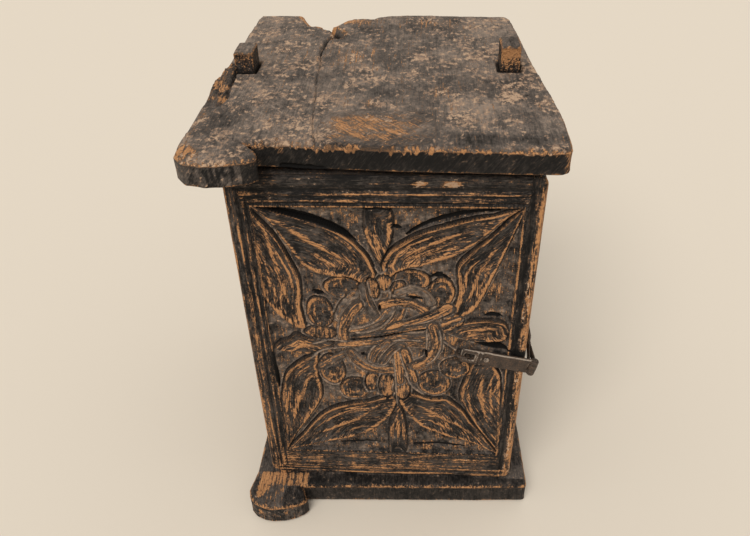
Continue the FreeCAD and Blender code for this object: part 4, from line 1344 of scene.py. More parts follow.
def frame_height(a, b):
    """Height, wear and darkened grooves of the moulded frame at places across and down."""
    upright = (b > np.minimum(a, door_width - a) + 4) & (door_height - b > 14)
    level = ~upright & (a > 8) & (a < door_width - 8)
    beside = np.where(upright, a, b)
    run = np.where(upright, b, a)
    height = layered(a / 40, b / 50, 2601) * 0.5 - 0.8
    height += layered(beside / 1.9, run / 26, 2602, 2) * 0.35
    height += layered(a / 3, b / 3, 2604, 2) * 0.16
    wear = 0.24 + 0.26 * layered(beside / 2.2, run / 34, 2603, 2)
    wear = wear + 0.10 * ramp(b, 60, 200) * (a < 24) - 0.14 * (b < 14)
    wear = wear + 0.12 * (b > 364)
    soot = np.zeros(a.shape)
    shade = 1.0 - 0.55 * ramp(b, 318, 352) * fall(a, 30, 120)
    for stretch, group, place, along in (
            (upright & (a < 24), left_lines, a, b), (upright & (a > 250), right_lines, a, b),
            (level & (b < 31), top_lines, b, a), (level & (b > 350), bottom_lines, b, a)):
        for k, (at, width, rise, rub) in enumerate(group):
            wander = 0.9 * layered(along / 50, along * 0 + at, 2610 + k)
            line = stripe(place - at - wander, width * 0.5) * stretch
            height = height + rise * line
            broken = rub + 0.55 * layered(along / 17, place / 3, 2630 + int(at))
            wear = most(wear, line * broken * shade * (rub > 0))
            if rise < -0.4:
                wear = wear * (1.0 - 0.9 * line)
                soot = most(soot, 0.62 * line)
    return height, np.minimum(wear, 0.74), soot


def fine_beside(low, high, from_low, to_high, fine=1.0, coarse=4.0):
    """Grid lines that are close together near both ends of a stretch."""
    return np.unique(np.concatenate([
        lines(low, low + from_low, fine), lines(low + from_low, high - to_high, coarse),
        lines(high - to_high, high, fine)]))


def plank_outline(corner=8.0):
    """The door's edge, its corners rounded by wear."""
    outline = []
    for cx, cz, start in ((door_right - corner, door_bottom + corner, -90),
                          (door_right - corner, door_top - corner, 0),
                          (door_left + corner, door_top - corner, 90),
                          (door_left + corner, door_bottom + corner, 180)):
        for turn in np.radians(range(start, start + 91, 15)):
            outline.append((cx + corner * math.cos(turn), cz + corner * math.sin(turn)))
    return board_ring(outline)


def plank_face(x, z, edge):
    """Height of the frame, and the pocket that the carving fills."""
    a, b = x - door_left, door_top - z
    height, _, _ = frame_height(a, b)
    sunk = ((a > field_left + 0.4) & (a < field_right - 0.4)
            & (b > field_top + 0.4) & (b < field_bottom - 0.4))
    height = np.where(sunk, -field_floor, np.minimum(height, 0.0))
    return height - rounded_edge(edge, 2.6) * 0.9


def plank_back(x, z, edge):
    """Height of the hewn back of the door."""
    hew = layered(x / 30, z / 55, 1650) * 0.7 + layered(x / 6, z / 50, 1651) * 0.25
    return 1.0 + hew + rounded_edge(edge, 5)


# Rubbed places on the door's top rail: streaks as place, top and foot, and pale patches as
# middle and reach.
rail_streaks = ((150, 4, 34), (187.5, 2, 22), (218, 6, 30))
rail_patches = (((169, 6.5), (5, 3)), ((197, 7), (8.5, 3.4)))


def make_door_plank():
    board = slab(
        fine_beside(door_left, door_right, field_left + 1.0, door_width - field_right + 1.0),
        fine_beside(door_bottom, door_top, door_height - field_bottom + 1.0, field_top + 1.0),
        plank_outline(), (), door_thickness, plank_face,
        lambda x, z: 0.7 + 0.5 * np.abs(layered(x / 7, z / 7, 1660, 2)),
        under=plank_back, under_drop=4.0,
        side=lambda x, z, d: layered((x + z) / 14, d / 14, 1661) * 0.4 - 0.4, rows=10)
    x, z, depth = board.points.T
    a, b = x - door_left, door_top - z
    up = board.up
    _, frame_wear, groove_soot = frame_height(a, b)
    arris = fall(board.edge, 0.5, 2.6)
    worn_arris = arris * (0.62 + 0.5 * layered(x / 9, z / 9, 1670)) * (1.0 - 0.7 * (b < 6))
    right_rub = ramp(a, door_width - 6, door_width - 2) * 0.6
    strip = up * ramp(a, 265.5, 268.5) * (b > 14)
    streaks = [stripe(a - place, 0.8) * (b > low) * (b < high) for place, low, high in rail_streaks]
    patches = most(*(spot(a, b, middle, reach) for middle, reach in rail_patches))
    wear = up * most(
        frame_wear, worn_arris, right_rub * (1.0 + 0.5 * layered(x / 4, z / 16, 1671)),
        strip * (0.42 + 0.3 * layered(x / 3, z / 7, 1676)),
        most(*streaks) * (0.7 + 0.4 * layered(x, z / 4, 1672)), patches * 1.2)
    edge_wear = arris * 0.5 + 0.2 + 0.25 * layered(x / 20 + z / 20, depth / 5, 1673)
    wear = np.where(board.sides, edge_wear, wear)
    wear = np.where(board.low, 0.16 + 0.2 * layered(x / 16, z / 60, 1674), wear)
    pale = strip * ramp(b, 40, 150) * (0.34 + 0.4 * layered(x / 6, z / 24, 1677))
    pale = most(pale, up * patches * 0.9)
    # Under the top board the door's top 29 mm carry less dust and its top 15 mm are blackened:
    # painted shade.
    dust = np.where(up, 0.13 - 0.1 * (b < 29) + 0.2 * layered(x / 14, z / 20, 1675), 0.4)
    strap_shadow = up * (a > 240) * stripe(b - 189.5 - 0.21 * (a - 213), 4, 4)
    soot = np.where(up, most(0.34 * (b < 15), groove_soot), 0.1)
    flat_rail = up & ((b > 361) | (b < 29)) & (a > 13) & (a < door_width - 13)
    grain = np.where(flat_rail[:, None], np.column_stack([z, x, depth]), board.points)
    finish_mesh("door_plank", face_point(x, z, depth), board.faces, "door", "door", "door_wood",
                marks(board.points, grain, wear * (1.0 - strap_shadow), dust, pale,
                      most(soot, 1.1 * strap_shadow)))


make_door_carving()
make_door_plank()


# ---------------------------------------------------------------- base board

# Plan of the base board, anticlockwise from its front right corner.
base_plan = (
    (154.5, -159.6), (157.6, -158.4), (158.6, -155), (156.8, -90), (153.5, 10), (150, 110),
    (148.6, 157), (60, 157.4), (-60, 157), (-151.6, 157.4), (-152.6, 100), (-154.5, 0),
    (-156.5, -100), (-157.6, -150), (-160.6, -163), (-163, -175), (-160.5, -185), (-153.5, -192.8),
    (-143, -197.4), (-132.7, -198.6), (-120, -197.6), (-107.6, -193.6), (-98, -188),
    (-93.4, -182.6), (-96.2, -179), (-97.8, -174), (-101, -168), (-60, -166.6), (20, -164.4),
    (100, -162),
)
base_lobe = (-128, -178)
tenon_room = 0.6


def base_surface(x, y, edge):
    """Height of the base board's upper face, worn hollow on its lobe and nicked at its rim."""
    height = layered(x / 80, y / 60, 1701) * 0.7 + layered(x / 60, y / 7, 1702) * 0.22
    height += layered(x / 9, y / 3, 1703, 2) * 0.1 - 0.9
    lobe = fall(away(x, y, base_lobe), 16, 34)
    height -= lobe * (0.8 + 0.9 * layered(x / 12, y / 12, 1704))
    height -= 3.2 * (ramp(x, -116, -98) * ramp(-y, 172, 182))
    nick = most(0.0, layered(x / 4, y / 30, 1705, 2) - 0.25)
    height -= 3.0 * nick * fall(edge, 0, 4)
    return height - rounded_edge(edge, 3.2) * 0.9


def base_underside(x, y, edge):
    """Height of the base board's sawn underside."""
    saw = layered(x / 90, y / 4, 1714, 2) * 0.25 + layered(x / 50, y / 50, 1715) * 0.3
    return 0.6 + saw + rounded_edge(edge, 3)


def base_wear(x, y, z, board, lobe, facet, black, lobe_side):
    """Where the base board is rubbed bare: its arrises, its lobe and its underside."""
    edge, up, sides = board.edge, board.up, board.sides
    arris = fall(edge, 0.5, 2.8)
    ragged = layered(x / 4, y / 6, 1722) * 2.5
    half = 3.0 + 6.0 * ramp(y, -186, -160)
    middle = -145.0 + 0.25 * (y + 165.0)
    strip = lobe * fall(np.abs(x - middle) + 1.6 * ragged, half - 1, half + 1)
    striped = lobe * ramp(x, -137, -134) * fall(-y, 167, 171)
    wear = most(
        up * arris * (0.62 + 0.6 * layered(x / 7, y / 7, 1721)),
        lobe * (1.0 - facet) * (1.0 - black) * (0.26 + 0.42 * layered(x / 4, y / 6, 1723)),
        strip * ramp(y, -190, -182) * 0.76,
        striped * (0.58 + 0.34 * layered(x / 2, y / 30, 1729)),
        lobe * fall(edge + 0.4 * ragged, 1.6, 2.8) * 0.74,
        sides * arris * 0.62 * (0.8 + 0.5 * layered(x / 8, y / 8, 1724)),
        lobe_side * (0.14 + 0.5 * layered((x + y) / 7, z / 5, 1725)))
    return np.where(board.low, 0.32 + 0.25 * layered(x / 30, y / 12, 1726), wear)


def make_base_board():
    holes = [board_ring(rectangle(x0 - tenon_room, x1 + tenon_room, tenon_front - tenon_room,
                                  tenon_front + tenon_depth + tenon_room), 1.5)
             for x0, x1 in tenons]
    mesh_step = 1.7
    board = slab(
        lines(base_low[0], base_high[0], mesh_step), lines(base_low[1], base_high[1], mesh_step),
        wavering(base_plan, 1711, 0.4), holes, base_top, base_surface,
        lambda x, y: 0.9 + 0.8 * np.abs(layered(x / 7, y / 7, 1716, 2)),
        under=base_underside, under_drop=3.4,
        side=lambda x, y, d: layered((x + y) / 6, d / 30, 1713) * 0.35 - 0.35, rows=12)
    x, y, z = board.points.T
    up, sides = board.up, board.sides
    inside = up & (np.abs(x) < 128) & (y > -124) & (y < 142)
    lobe = up * (x < -95) * ramp(-y, 148, 152)
    facet = lobe * ramp(x, -123, -117) * ramp(-y, 168, 171)
    black = lobe * fall(x, -153, -149) * ramp(-y, 160, 164)
    lobe_side = sides & (x < -100) & (y < -150)
    wear = base_wear(x, y, z, board, lobe, facet, black, lobe_side)
    wear = np.where(inside, 0.22 + 0.2 * layered(x / 40, y / 12, 1727), wear)
    front = up & (y < -150) & (y > -170) & (x > -100)
    dust = np.where(up, 0.30 + 0.30 * layered(x / 30, y / 30, 1728), 0.16)
    dust = np.where(inside, 0.85, dust)
    dust = np.where(lobe_side, 0.22 + 0.7 * layered((x + y) / 4, z / 4, 1730), dust)
    dust = np.where(front | (facet > 0.5) | (black > 0.5), 0.12, dust)
    soot = np.where(front, 0.46, 0.3 * most(facet, black))
    soot = soot + 0.52 * sides * (y < -140) * (x > -100)
    soot = most(soot, up * fall(near_tenons(x, y), 1, 3) * 0.6)
    soot = soot * (1.0 - 0.9 * np.clip(wear, 0, 1))
    finish_mesh("base_board_hewn", board.points + (0.0, 0.0, base_top), board.faces, "chest",
                "base_board", "carcass_wood",
                marks(board.points, lying_grain(x, y, z, sides), wear, dust, 0.0, soot))


# ---------------------------------------------------------------- upright boards


def make_upright(name, node, across, out, low, high, seed, outer_dust=0.3):
    """Upright board whose outer face looks along out; across runs level in its plane."""
    near, outer = sorted((np.dot(low, out), np.dot(high, out)))
    ends = sorted((np.dot(low, across), np.dot(high, across)))
    inset, mesh_step = 0.25, 2.2
    us = lines(ends[0] + inset, ends[1] - inset, mesh_step)
    vs = lines(low[2], high[2], mesh_step * 1.15)
    ring = board_ring(rectangle(us[0], us[-1], vs[0], vs[-1]), 3)
    ring[:, 0] += layered(ring[:, 1] / 16, ring[:, 0] / 90, seed) * 0.35 - np.sign(
        ring[:, 0] - us.mean()) * 0.3

    def outer_face(u, v, edge):
        height = layered(u / 34, v / 90, seed + 1) * 0.7 - 1.1
        height += layered(u / 5.5, v / 75, seed + 2) * 0.34
        scallop = np.abs(layered(u / 26, v / 15, seed + 3, 1))
        height -= 0.5 * fall(scallop, 0, 0.25)
        height -= 1.6 * ramp(layered(u / 3, v / 120, seed + 4, 2), 0.62, 0.75)
        return height - rounded_edge(edge, 2.8) * 0.8

    def inner_face(u, v, edge):
        height = layered(u / 40, v / 80, seed + 5) * 0.5 + 0.8
        return height + layered(u / 6, v / 70, seed + 6) * 0.25 + rounded_edge(edge, 2)

    board = slab(
        us, vs, ring, (), outer - near, outer_face,
        lambda u, v: 0.8 + 0.6 * np.abs(layered(u / 6, v / 6, seed + 7, 2)),
        under=inner_face, under_drop=2.4,
        side=lambda u, v, d: layered((u + v) / 9, d / 12, seed + 8) * 0.3 - 0.3, rows=8)
    u, v, h = board.points.T
    arris = ~board.low * fall(board.edge, 0.5, 3)
    foot = fall(v, 34, 70)
    worn = 0.16 + stripe(v - 250, 150) * 0.12 + 0.22 * layered(u / 14, v / 120, seed + 11)
    worn = worn + foot * (0.22 + 0.2 * layered(u / 10, v / 12, seed + 12))
    wear = np.where(board.low, 0.3 + 0.2 * layered(u / 12, v / 90, seed + 13), worn)
    wear = most(wear, arris * (0.66 + 0.5 * layered(u / 10, v / 12, seed + 14)))
    dust = outer_dust + 0.3 * layered(u / 28, v / 60, seed + 15)
    pale = board.up * 0.3 * ramp(layered(u / 18, v / 26, seed + 16), 0.45, 0.8)
    checks = ramp(layered(u / 3, v / 120, seed + 4, 2), 0.6, 0.72) * 0.9
    soot = board.up * most(checks, ramp(v, 425, 442) * 0.35)
    world = np.outer(u, across) + np.outer(v, (0, 0, 1)) + np.outer(h + outer, out)
    grain = np.column_stack([np.where(board.sides, h, u), v, np.where(board.sides, u, h)])
    finish_mesh(name, world, board.faces, "chest", node, "carcass_wood",
                marks(world, grain, wear, np.where(board.low, 0.55, dust), pale, soot))


def make_tenon(name, node, x0, x1, low_z, high_z, mesh_step, seed, worn_top):
    """End of a through tenon, with its arrises knocked round."""
    xs = lines(x0, x1, mesh_step)
    ys = lines(tenon_front, tenon_front + tenon_depth, mesh_step)
    tall = high_z - low_z
    ring = board_ring(rectangle(x0 + 0.1, x1 - 0.1, ys[0] + 0.1, ys[-1] - 0.1), mesh_step)

    def end_grain(x, y, edge):
        rough = layered(x / 6, y / 6, seed) * 0.7 + layered(x / 1.8, y / 1.8, seed + 1) * 0.3
        split = fall(np.abs(x - (x0 + x1) / 2 + layered(y / 6, y * 0, seed + 2)), 0.2, 0.9)
        return 0.6 * rough - 0.5 - 1.2 * split * worn_top - rounded_edge(edge, 1.2)

    board = slab(
        xs, ys, ring, (), tall, end_grain,
        lambda x, y: 0.5 + 0.7 * np.abs(layered(x / 5, y / 5, seed + 3, 2)),
        side=lambda x, y, d: -0.25 - 0.5 * np.abs(layered((x + y) / 3, d / 30, seed + 4)),
        rows=max(8, int(tall / (mesh_step * 1.3))), under_drop=0.8)
    x, y, h = board.points.T
    z = h + high_z
    up, sides = board.up, board.sides
    arris = ~board.low * fall(board.edge, 0.5, 2.2)
    front = sides & (y < tenon_front + 3)
    front_arris = sides & (np.minimum(x - x0, x1 - x) < 1.6) & (y < tenon_front + 1.6)
    head = ramp(z, top_face + 1, high_z - 4)
    rubbed = 0.22 + (0.2 + 0.3 * worn_top) * head + 0.3 * layered(x / 2.5, z / 18, seed + 6)
    wear = most(
        arris * (0.62 + 0.5 * layered(x / 4, y / 4, seed + 5)),
        front_arris * (0.55 + 0.4 * layered(z / 5, x * 0, seed + 8)),
        front * (rubbed + 0.24 * worn_top),
        (sides & ~front) * (0.22 + 0.3 * layered((x + y) / 4, z / 16, seed + 7)))
    dust = np.where(up, 0.55 - 0.1 * worn_top, 0.12)
    soot = sides * fall(z, top_face - 2, top_face + 3) * 0.7
    grain = np.column_stack([np.where(up, x, x + y), np.where(up, y, z), h])
    finish_mesh(name, np.column_stack([x, y, z]), board.faces, "chest", node, "carcass_wood",
                marks(board.points, grain, wear, dust, 0.0, soot))


along_x, along_y = np.array((1.0, 0.0, 0.0)), np.array((0.0, 1.0, 0.0))
back_low, back_high = box_mm("back_board")
groove_bite = 3.0
make_base_board()
make_upright("left_board_hewn", "side_board_left", -along_y, -along_x,
             np.array((*left_low[:2], base_top)), np.array((*left_high[:2], top_under)), 1800)
make_upright("right_board_hewn", "side_board_right", along_y, along_x,
             np.array((*right_low[:2], base_top)), np.array((*right_high[:2], top_under)), 1900)
inner_low = np.array((back_low[0] + groove_bite, back_low[1], base_top - groove_bite))
inner_high = np.array((back_high[0] - groove_bite, back_high[1], top_under + groove_bite))
make_upright("back_board_hewn", "back_board", -along_x, along_y, inner_low, inner_high, 2000,
             outer_dust=0.5)
for side_name, (x0, x1), lean, tenon_head, seed, worn_top in (
        ("left", left_tenon, left_lean, left_high[2], 2100, 0.0),
        ("right", right_tenon, 0.0, right_high[2], 2200, 1.0)):
    node = "side_board_" + side_name
    make_tenon(side_name + "_tenon_above", node, x0 - lean, x1 - lean, top_under + 2.0,
               tenon_head, 0.8, seed, worn_top)
    make_tenon(side_name + "_tenon_below", node, x0, x1, left_low[2], base_top + 1.0, 1.4,
               seed + 50, 0.0)


# ---------------------------------------------------------------- iron

lift_point = joint_mm("hasp_lift")
strap_slope = math.radians(12.0)
strap_along = np.array((math.cos(strap_slope), 0.0, -math.sin(strap_slope)))
strap_across = np.array((math.sin(strap_slope), 0.0, math.cos(strap_slope)))
to_front = -along_y
strap_reach = 72.0
strap_half = 9.0
strap_underside, strap_face = 0.5, 3.7
strap_mid = (strap_underside + strap_face) / 2.0
hasp_start = np.array((lift_point[0], door_front, lift_point[2]))
knuckle = hasp_start + strap_along * strap_reach + to_front * strap_mid
barrel_radius = 4.3
slot_half = 4.0
strap_slot_middle, strap_slot_reach = 7.1, 5.2
strap_seams = (15.0, 19.0)
strap_rivet = 24.5
arm_half, arm_layer, arm_fold, arm_wide_from, arm_length = 3.7, 1.6, 28.0, 36.0, 72.0


def placed(points, origin, u, v, w):
    """Points of a piece's own frame in the part's frame."""
    a, b, c = points.T
    return origin + np.outer(a, u) + np.outer(b, v) + np.outer(c, w)


def iron_plate(name, owner, own_frame, us, vs, ring, slot, thickness, top, wear, side=None):
    """Forged plate with a slot, in its own frame; its body and its node have the same name."""
    board = slab(us, vs, ring, (slot,), thickness, top, lambda u, v: np.full(len(u), 0.45),
                 side=side, rows=6, under_drop=0.35)
    rub = np.where(board.up, wear(*board.points.T[:2], board.edge), 0.12)
    finish_mesh(name, placed(board.points, *own_frame), board.faces, owner, owner, "iron",
                marks(board.points, board.points, rub))


def round_piece_tree():
    """Nodes that sweep a circle along a path whose points say how thick the piece is there."""
    tree = bpy.data.node_groups.new("round_piece", "GeometryNodeTree")
    for way, name, kind in (("INPUT", "Path", "Geometry"), ("INPUT", "Sides", "Int"),
                            ("INPUT", "Dents", "Float"), ("INPUT", "Seed", "Int"),
                            ("INPUT", "Finish", "Material"), ("OUTPUT", "Piece", "Geometry")):
        tree.interface.new_socket(name, in_out=way, socket_type="NodeSocket" + kind)
    sheet = Sheet(tree)
    given = sheet.lay("NodeGroupInput").outputs
    path = sheet.lay("GeometryNodeMeshToCurve", {"Mesh": given["Path"]}).outputs[0]
    thick = sheet.lay("GeometryNodeInputNamedAttribute", {"Name": "thick"}).outputs["Attribute"]
    circle = sheet.lay("GeometryNodeCurvePrimitiveCircle", {
        "Resolution": given["Sides"], "Radius": 1.0}).outputs[0]
    skin = sheet.lay("GeometryNodeCurveToMesh", {
        "Curve": path, "Profile Curve": circle, "Scale": thick, "Fill Caps": True}).outputs[0]
    dents = sheet.lay("ShaderNodeTexNoise", {"W": given["Seed"], "Scale": 500.0},
                      noise_dimensions="4D").outputs["Fac"]
    depth = sheet.lay("ShaderNodeMath", {0: dents, 1: given["Dents"]}, operation="MULTIPLY")
    facing = sheet.lay("GeometryNodeInputNormal").outputs[0]
    shift = sheet.lay("ShaderNodeVectorMath", {0: facing, "Scale": depth.outputs[0]},
                      operation="SCALE")
    skin = sheet.lay("GeometryNodeSetPosition", {
        "Geometry": skin, "Offset": shift.outputs[0]}).outputs[0]
    skin = sheet.lay("GeometryNodeRealizeInstances", {"Geometry": skin}).outputs[0]
    skin = sheet.lay("GeometryNodeSetMaterial", {
        "Geometry": skin, "Material": given["Finish"]}).outputs[0]
    sheet.lay("NodeGroupOutput", {"Piece": skin})
    return tree


round_pieces = round_piece_tree()


def round_piece(name, body, node, path, radii, dents, seed, wear=0.3, sides=28,
                slot_name="iron", dust=0.0):
    """Piece of round section with its radius at each point of its path, and shallow dents."""
    line = bpy.data.meshes.new(name + "_path")
    line.from_pydata((np.array(path) * MM).tolist(),
                     [(k, k + 1) for k in range(len(path) - 1)], [])
    thick = line.attributes.new("thick", "FLOAT", "POINT")
    thick.data.foreach_set("value", np.array(radii, np.float32) * MM)
    holder = bpy.data.objects.new(name + "_path", line)
    bpy.context.scene.collection.objects.link(holder)
    sweep = holder.modifiers.new("round_piece", "NODES")
    sweep.node_group = round_pieces
    for key, value in (("Sides", sides), ("Dents", -dents * MM), ("Seed", seed),
                       ("Finish", finishes[slot_name])):
        sweep[round_pieces.interface.items_tree[key].identifier] = value
    graph = bpy.context.evaluated_depsgraph_get()
    swept = bpy.data.meshes.new_from_object(holder.evaluated_get(graph))
    holder.modifiers.remove(sweep)
    bpy.data.objects.remove(holder)
    points = np.array([corner.co for corner in swept.vertices]) / MM
    faces = [tuple(face.vertices) for face in swept.polygons]
    for used_up in (line, swept):
        bpy.data.meshes.remove(used_up)
    finish_mesh(name, points, faces, body, node, slot_name,
                marks(points, points[:, (0, 2, 1)], wear, dust))


def turned(name, body, node, start, axis, profile, dents, seed, wear):
    """Round piece on a straight axis, from (distance along it, radius) pairs."""
    along, radii = zip(*profile)
    round_piece(name, body, node, [start + axis * a for a in along], radii, dents, seed, wear)


def bent_wire(name, body, node, path, radius, seed, tip_share=0.55):
    """Hand-drawn wire along a path, thinner towards both of its ends."""
    path = np.array(path, float)
    steps = np.linalg.norm(np.diff(path, axis=0), axis=1)
    share = np.concatenate([[0.0], np.cumsum(steps)]) / steps.sum()
    taper = ramp(np.minimum(share, 1 - share), 0, 0.12)
    round_piece(name, body, node, path, radius * (tip_share + (1.0 - tip_share) * taper),
                0.12 * radius, seed, sides=16)


def mirrored(half):
    """A ring from the half of it that lies on one side of the first axis."""
    return half + [(a, -b) for a, b in half[::-1]]


def slot_ring(start, end, corner, spacing):
    """Long slot with cut corners, on the first axis."""
    half = [(start, corner - slot_half), (start + corner, -slot_half), (end - 1, -slot_half),
            (end, corner - slot_half)]
    return board_ring(mirrored(half), spacing)


def past_slot(s, t):
    """How far a point of the strap lies outside its slot."""
    return most(np.abs(s - strap_slot_middle) - strap_slot_reach, np.abs(t) - slot_half)


def hammered(s, t, edge):
    """Height of the strap's face, with the raised seams and rim and the seat of its rivet."""
    height = layered(s / 7, t / 5, 2501) * 0.14 - 0.2
    height += layered(s / 1.6, t / 1.6, 2502, 2) * 0.05
    for seam in strap_seams:
        height += 0.95 * fall(np.abs(s - seam), 0.9, 1.7) * ramp(edge, -0.1, 0.7)
    height += 0.3 * fall(past_slot(s, t), 0.9, 1.8) * (s > 0)
    height -= 0.5 * fall(np.abs(s - strap_rivet), 3.2, 4.6) * (s > 20)
    height -= 1.1 * fall(s, -1.6, 1.2)
    return np.minimum(height, 0.78) - rounded_edge(edge, 0.9) * 0.6


def strap_rub_and_highlight(s, t, edge):
    """Where the strap is rubbed bright: its seams and the rim of its slot; its upper bevel alone is
    lightened as a painted highlight.
    """
    # Only the upper bevel is lightened, as a painted highlight.
    upper_bevel_highlight = fall(edge, 0.6, 1.6) * (t > 0)
    seams = sum(stripe(s - seam, 0.9) for seam in strap_seams)
    rubbed = 0.75 * upper_bevel_highlight + 0.6 * fall(past_slot(s, t), 0.5, 1.5) + 0.5 * seams
    return 0.12 + np.minimum(rubbed, 0.75) + 0.25 * layered(s / 9, t / 4, 2503)


def make_strap():
    end, mesh_step = -1.6, 0.42
    notch, reach, half = strap_reach - 4.6, strap_reach + 0.6, strap_half
    ring = mirrored([
        (end, -half + 2), (end + 0.6, -half + 0.7), (2, -half + 0.15), (20, -half + 0.3),
        (notch, -half), (reach, -half), (reach, -slot_half), (notch, -slot_half)])
    iron_plate("strap_plate", "hasp_strap",
               (hasp_start + to_front * strap_face, strap_along, strap_across, to_front),
               lines(end, strap_reach + 1, mesh_step), lines(-half, half, mesh_step),
               board_ring(ring[1:] + ring[:1], 0.5), slot_ring(1.9, 12.4, 0.8, 0.5),
               strap_face - strap_underside, hammered, strap_rub_and_highlight)
    eased = ((0, 3.4), (0.15, 3.9), (0.6, barrel_radius - 0.1), (2.5, barrel_radius),
             (4.3, barrel_radius - 0.1), (4.8, 3.9), (5, 3.4))
    for k, low in enumerate((-half, slot_half)):
        turned("strap_knuckle_%d" % (k + 1), "hasp_strap", "hasp_strap",
               knuckle + strap_across * low, strap_across, eased, 0.2, 11 + k, 0.42)


def make_rivet_and_pin():
    head = hasp_start + strap_along * strap_rivet + to_front * (strap_face - 0.6)
    turned("rivet_head", "hasp_strap", "hasp_rivet", head, to_front,
           ((0, 1.6), (0.3, 3), (0.8, 3.15), (1.3, 2.9), (1.8, 2.3), (2.1, 1.5),
            (2.18, 0.6)), 0.4, 21, 0.72)
    half = strap_half + 0.95
    peened = [(-half, 1.2), (-half + 0.15, 2), (-half + 0.4, 2.55), (-strap_half - 0.05, 2.5),
              (-strap_half, 1.5)]
    turned("pin_peened", "hasp_strap", "hasp_pin", knuckle, strap_across,
           peened + [(-along, radius) for along, radius in peened[::-1]], 0.1, 31, 0.5)


def make_arm():
    """Strip folded round the pin: the fold and its two closing layers, then the slotted end."""
    rings = []
    for radius, run in (
            (barrel_radius, [(3.9, 6), (2.5, 18), (arm_layer, arm_fold)]),
            (2.7, [(2.4, 6), (1, 18), (0.25, arm_fold - 2)])):
        curl = [(radius * math.cos(a), radius * math.sin(a))
                for a in np.radians(range(180, 361, 12))]
        rings.append(board_ring(curl + run + [(-w, r) for w, r in run[::-1]], 0.6))
    iron_plate("arm_fold", "hasp_arm",
               (knuckle + strap_across * arm_half, strap_along, along_y, strap_across),
               lines(-barrel_radius, barrel_radius, 0.3), lines(-barrel_radius, arm_fold, 0.4),
               *rings, 2 * arm_half, lambda w, r, e: -rounded_edge(e, 0.5) * 0.5 - 0.05,
               lambda w, r, e: np.full(len(w), 0.3))
    wide = 7.5
    ring = mirrored([
        (arm_fold, -arm_half), (arm_wide_from - 1, -arm_half),
        (arm_wide_from + 1, -wide + 0.9), (arm_wide_from + 3, -wide),
        (arm_length - 3, -wide), (arm_length - 0.8, -wide + 1.2), (arm_length, -wide + 4)])
    iron_plate("arm_slotted_end", "hasp_arm",
               (knuckle + strap_along * arm_layer, along_y, strap_across, strap_along),
               lines(arm_fold, arm_length, 0.5), lines(-wide, wide, 0.5),
               board_ring(ring, 0.6), slot_ring(43, 65, 1, 0.6), 2 * arm_layer,
               lambda r, t, e: layered(r / 5, t / 4, 2601) * 0.1 - 0.12
               - rounded_edge(e, 0.7) * 0.6,
               lambda r, t, e: 0.25 + 0.5 * fall(e, 0.5, 1.4),
               side=lambda r, t, d: -0.5 * stripe(d + arm_layer, 0.35))


def staple_path(foot, apart, inward, span, stand, board, wire, clench=9.0, bend=2.2):
    """Centre line of a staple from one turned-over end to the other."""
    crown, inside = wire / 2 - stand, board + bend
    corner = np.radians((22, 45, 67, 90))
    half = [(-clench, inside - 0.6), (-clench / 2, inside), (-bend, inside)]
    half += [(-bend + bend * math.sin(a), inside - bend + bend * math.cos(a)) for a in corner]
    half += [(0, d) for d in np.linspace(inside - bend, crown + bend, 12)[1:]]
    half += [(bend - bend * math.cos(a), crown + bend - bend * math.sin(a)) for a in corner]
    path = half + [(span / 2, crown)] + [(span - a, d) for a, d in half[::-1]]
    return [foot + apart * a + inward * d for a, d in path]


def make_staples():
    span, wire = 10, 2.6
    foot = hasp_start - strap_along * span / 2.0
    stand = strap_mid + 1.9 + 0.5 + wire
    bent_wire("door_staple_wire", "door", "door_staple",
              staple_path(foot, strap_along, along_y, span, stand, door_thickness, wire),
              wire / 2.0, 41)
    side_low, side_high = box_mm("side_staple")
    span, wire = 12, 3
    middle = (side_low + side_high) / 2.0
    foot = np.array((right_high[0], middle[1] - span / 2, middle[2]))
    bent_wire("side_staple_wire", "chest", "side_staple",
              staple_path(foot, along_y, -along_x, span, side_high[0] - right_high[0],
                          right_high[0] - right_low[0], wire), wire / 2.0, 42)


def make_pintles():
    """Round pins of the door's own wood at the top and foot of its hanging edge."""
    point = joint_mm("door_swing")
    radius, eased = 10.8, (0.8, 0.5, 0.25)
    for name, root, tip, seed in (("pintle_above", door_top - 3, door_high[2] - 0.1, 51),
                                  ("pintle_below", door_bottom + 3, door_low[2] + 0.1, 52)):
        rows = [tip + np.sign(root - tip) * 3.0 * share for share in (0, 0.1, 0.4, 1)]
        rows += np.linspace(rows[-1], root, 9)[1:].tolist()
        radii = [radius - less for less in eased] + [radius] * (len(rows) - len(eased))
        round_piece(name, "door", "door", [(point[0], point[1], z) for z in rows], radii, 0.3,
                    seed, 0.5, 40, "door_wood", 0.2)


make_strap()
make_rivet_and_pin()
make_arm()
make_staples()
make_pintles()


# ---------------------------------------------------------------- floor, light and camera


def make_floor():
    half = 6.0
    mesh = bpy.data.meshes.new("floor")
    mesh.from_pydata([(-half, -half, 0), (half, -half, 0), (half, half, 0), (-half, half, 0)],
                     [], [(0, 1, 2, 3)])
    paper = Finish("floor_paper")
    matt = paper.lay("ShaderNodeBsdfDiffuse", {"Color": backdrop_colour})
    paper.lay("ShaderNodeOutputMaterial", {"Surface": matt.outputs[0]})
    mesh.materials.append(paper.material)
    floor = bpy.data.objects.new("floor", mesh)
    bpy.context.scene.collection.objects.link(floor)


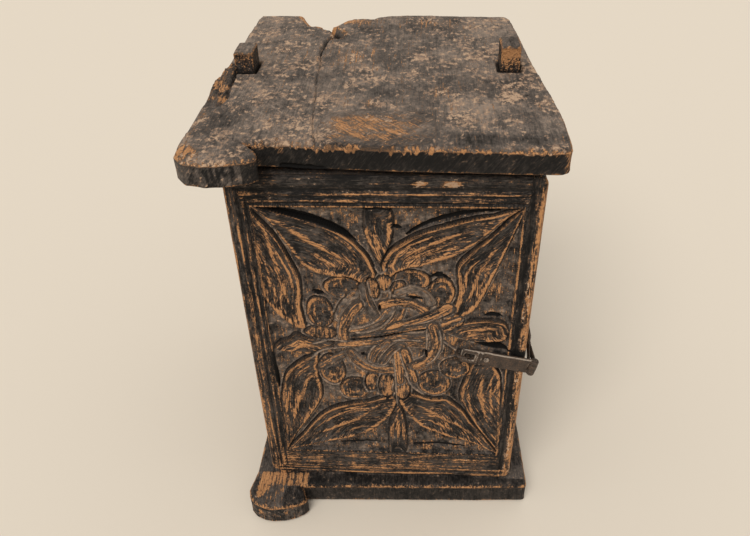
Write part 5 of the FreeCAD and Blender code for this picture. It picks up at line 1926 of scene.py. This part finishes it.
def make_world(strength):
    """Even white light; the camera, and glass and metal, see the backdrop's colour instead."""
    world = bpy.data.worlds.new("studio")
    world.use_nodes = True
    sky = Sheet(world.node_tree)
    sky.tree.nodes.clear()
    white = (1.0, 1.0, 1.0, 1.0)
    glow = sky.lay("ShaderNodeBackground", {"Color": white, "Strength": strength})
    seen = sky.lay("ShaderNodeBackground", {"Color": backdrop_colour})
    path = sky.lay("ShaderNodeLightPath").outputs
    either = path["Is Camera Ray"]
    for ray in ("Is Glossy Ray", "Is Transmission Ray"):
        either = sky.lay("ShaderNodeMath", {0: either, 1: path[ray]},
                         operation="MAXIMUM").outputs[0]
    mixer = sky.lay("ShaderNodeMixShader", {0: either, 1: glow.outputs[0], 2: seen.outputs[0]})
    sky.lay("ShaderNodeOutputWorld", {"Surface": mixer.outputs[0]})
    bpy.context.scene.world = world


def make_sun(name, strength, width, from_left, from_above):
    """Soft distant lamp; the angles are in degrees from the front and from level."""
    lamp = bpy.data.lights.new(name, "SUN")
    lamp.energy = strength
    lamp.angle = math.radians(width)
    light = bpy.data.objects.new(name, lamp)
    side, rise = math.radians(from_left), math.radians(from_above)
    towards = Vector((math.sin(side) * math.cos(rise), math.cos(side) * math.cos(rise),
                      -math.sin(rise)))
    light.rotation_euler = towards.to_track_quat("-Z", "Y").to_euler()
    bpy.context.scene.collection.objects.link(light)


def make_camera(place, turned, tipped, rolled, focal_length):
    """Camera at a place in millimetres; it is turned right, tipped down and rolled, in degrees."""
    lens = bpy.data.cameras.new("camera")
    lens.lens = focal_length
    lens.sensor_width = 36.0
    camera = bpy.data.objects.new("camera", lens)
    camera.matrix_world = Matrix.Translation(Vector(place) * MM)
    for angle, axis in ((-turned, "Z"), (90.0 - tipped, "X"), (-rolled, "Z")):
        camera.matrix_world @= Matrix.Rotation(math.radians(angle), 4, axis)
    bpy.context.scene.collection.objects.link(camera)
    bpy.context.scene.camera = camera


backdrop_colour = linear(226, 213, 194)
make_floor()
make_world(strength=0.62)
make_sun("window_light", strength=1.7, width=35, from_left=20, from_above=50)
make_camera(place=(30.5, -675.2, 742), turned=-4.326, tipped=37.501, rolled=1.992,
            focal_length=34.635)
bpy.context.scene.view_settings.view_transform = "Standard"
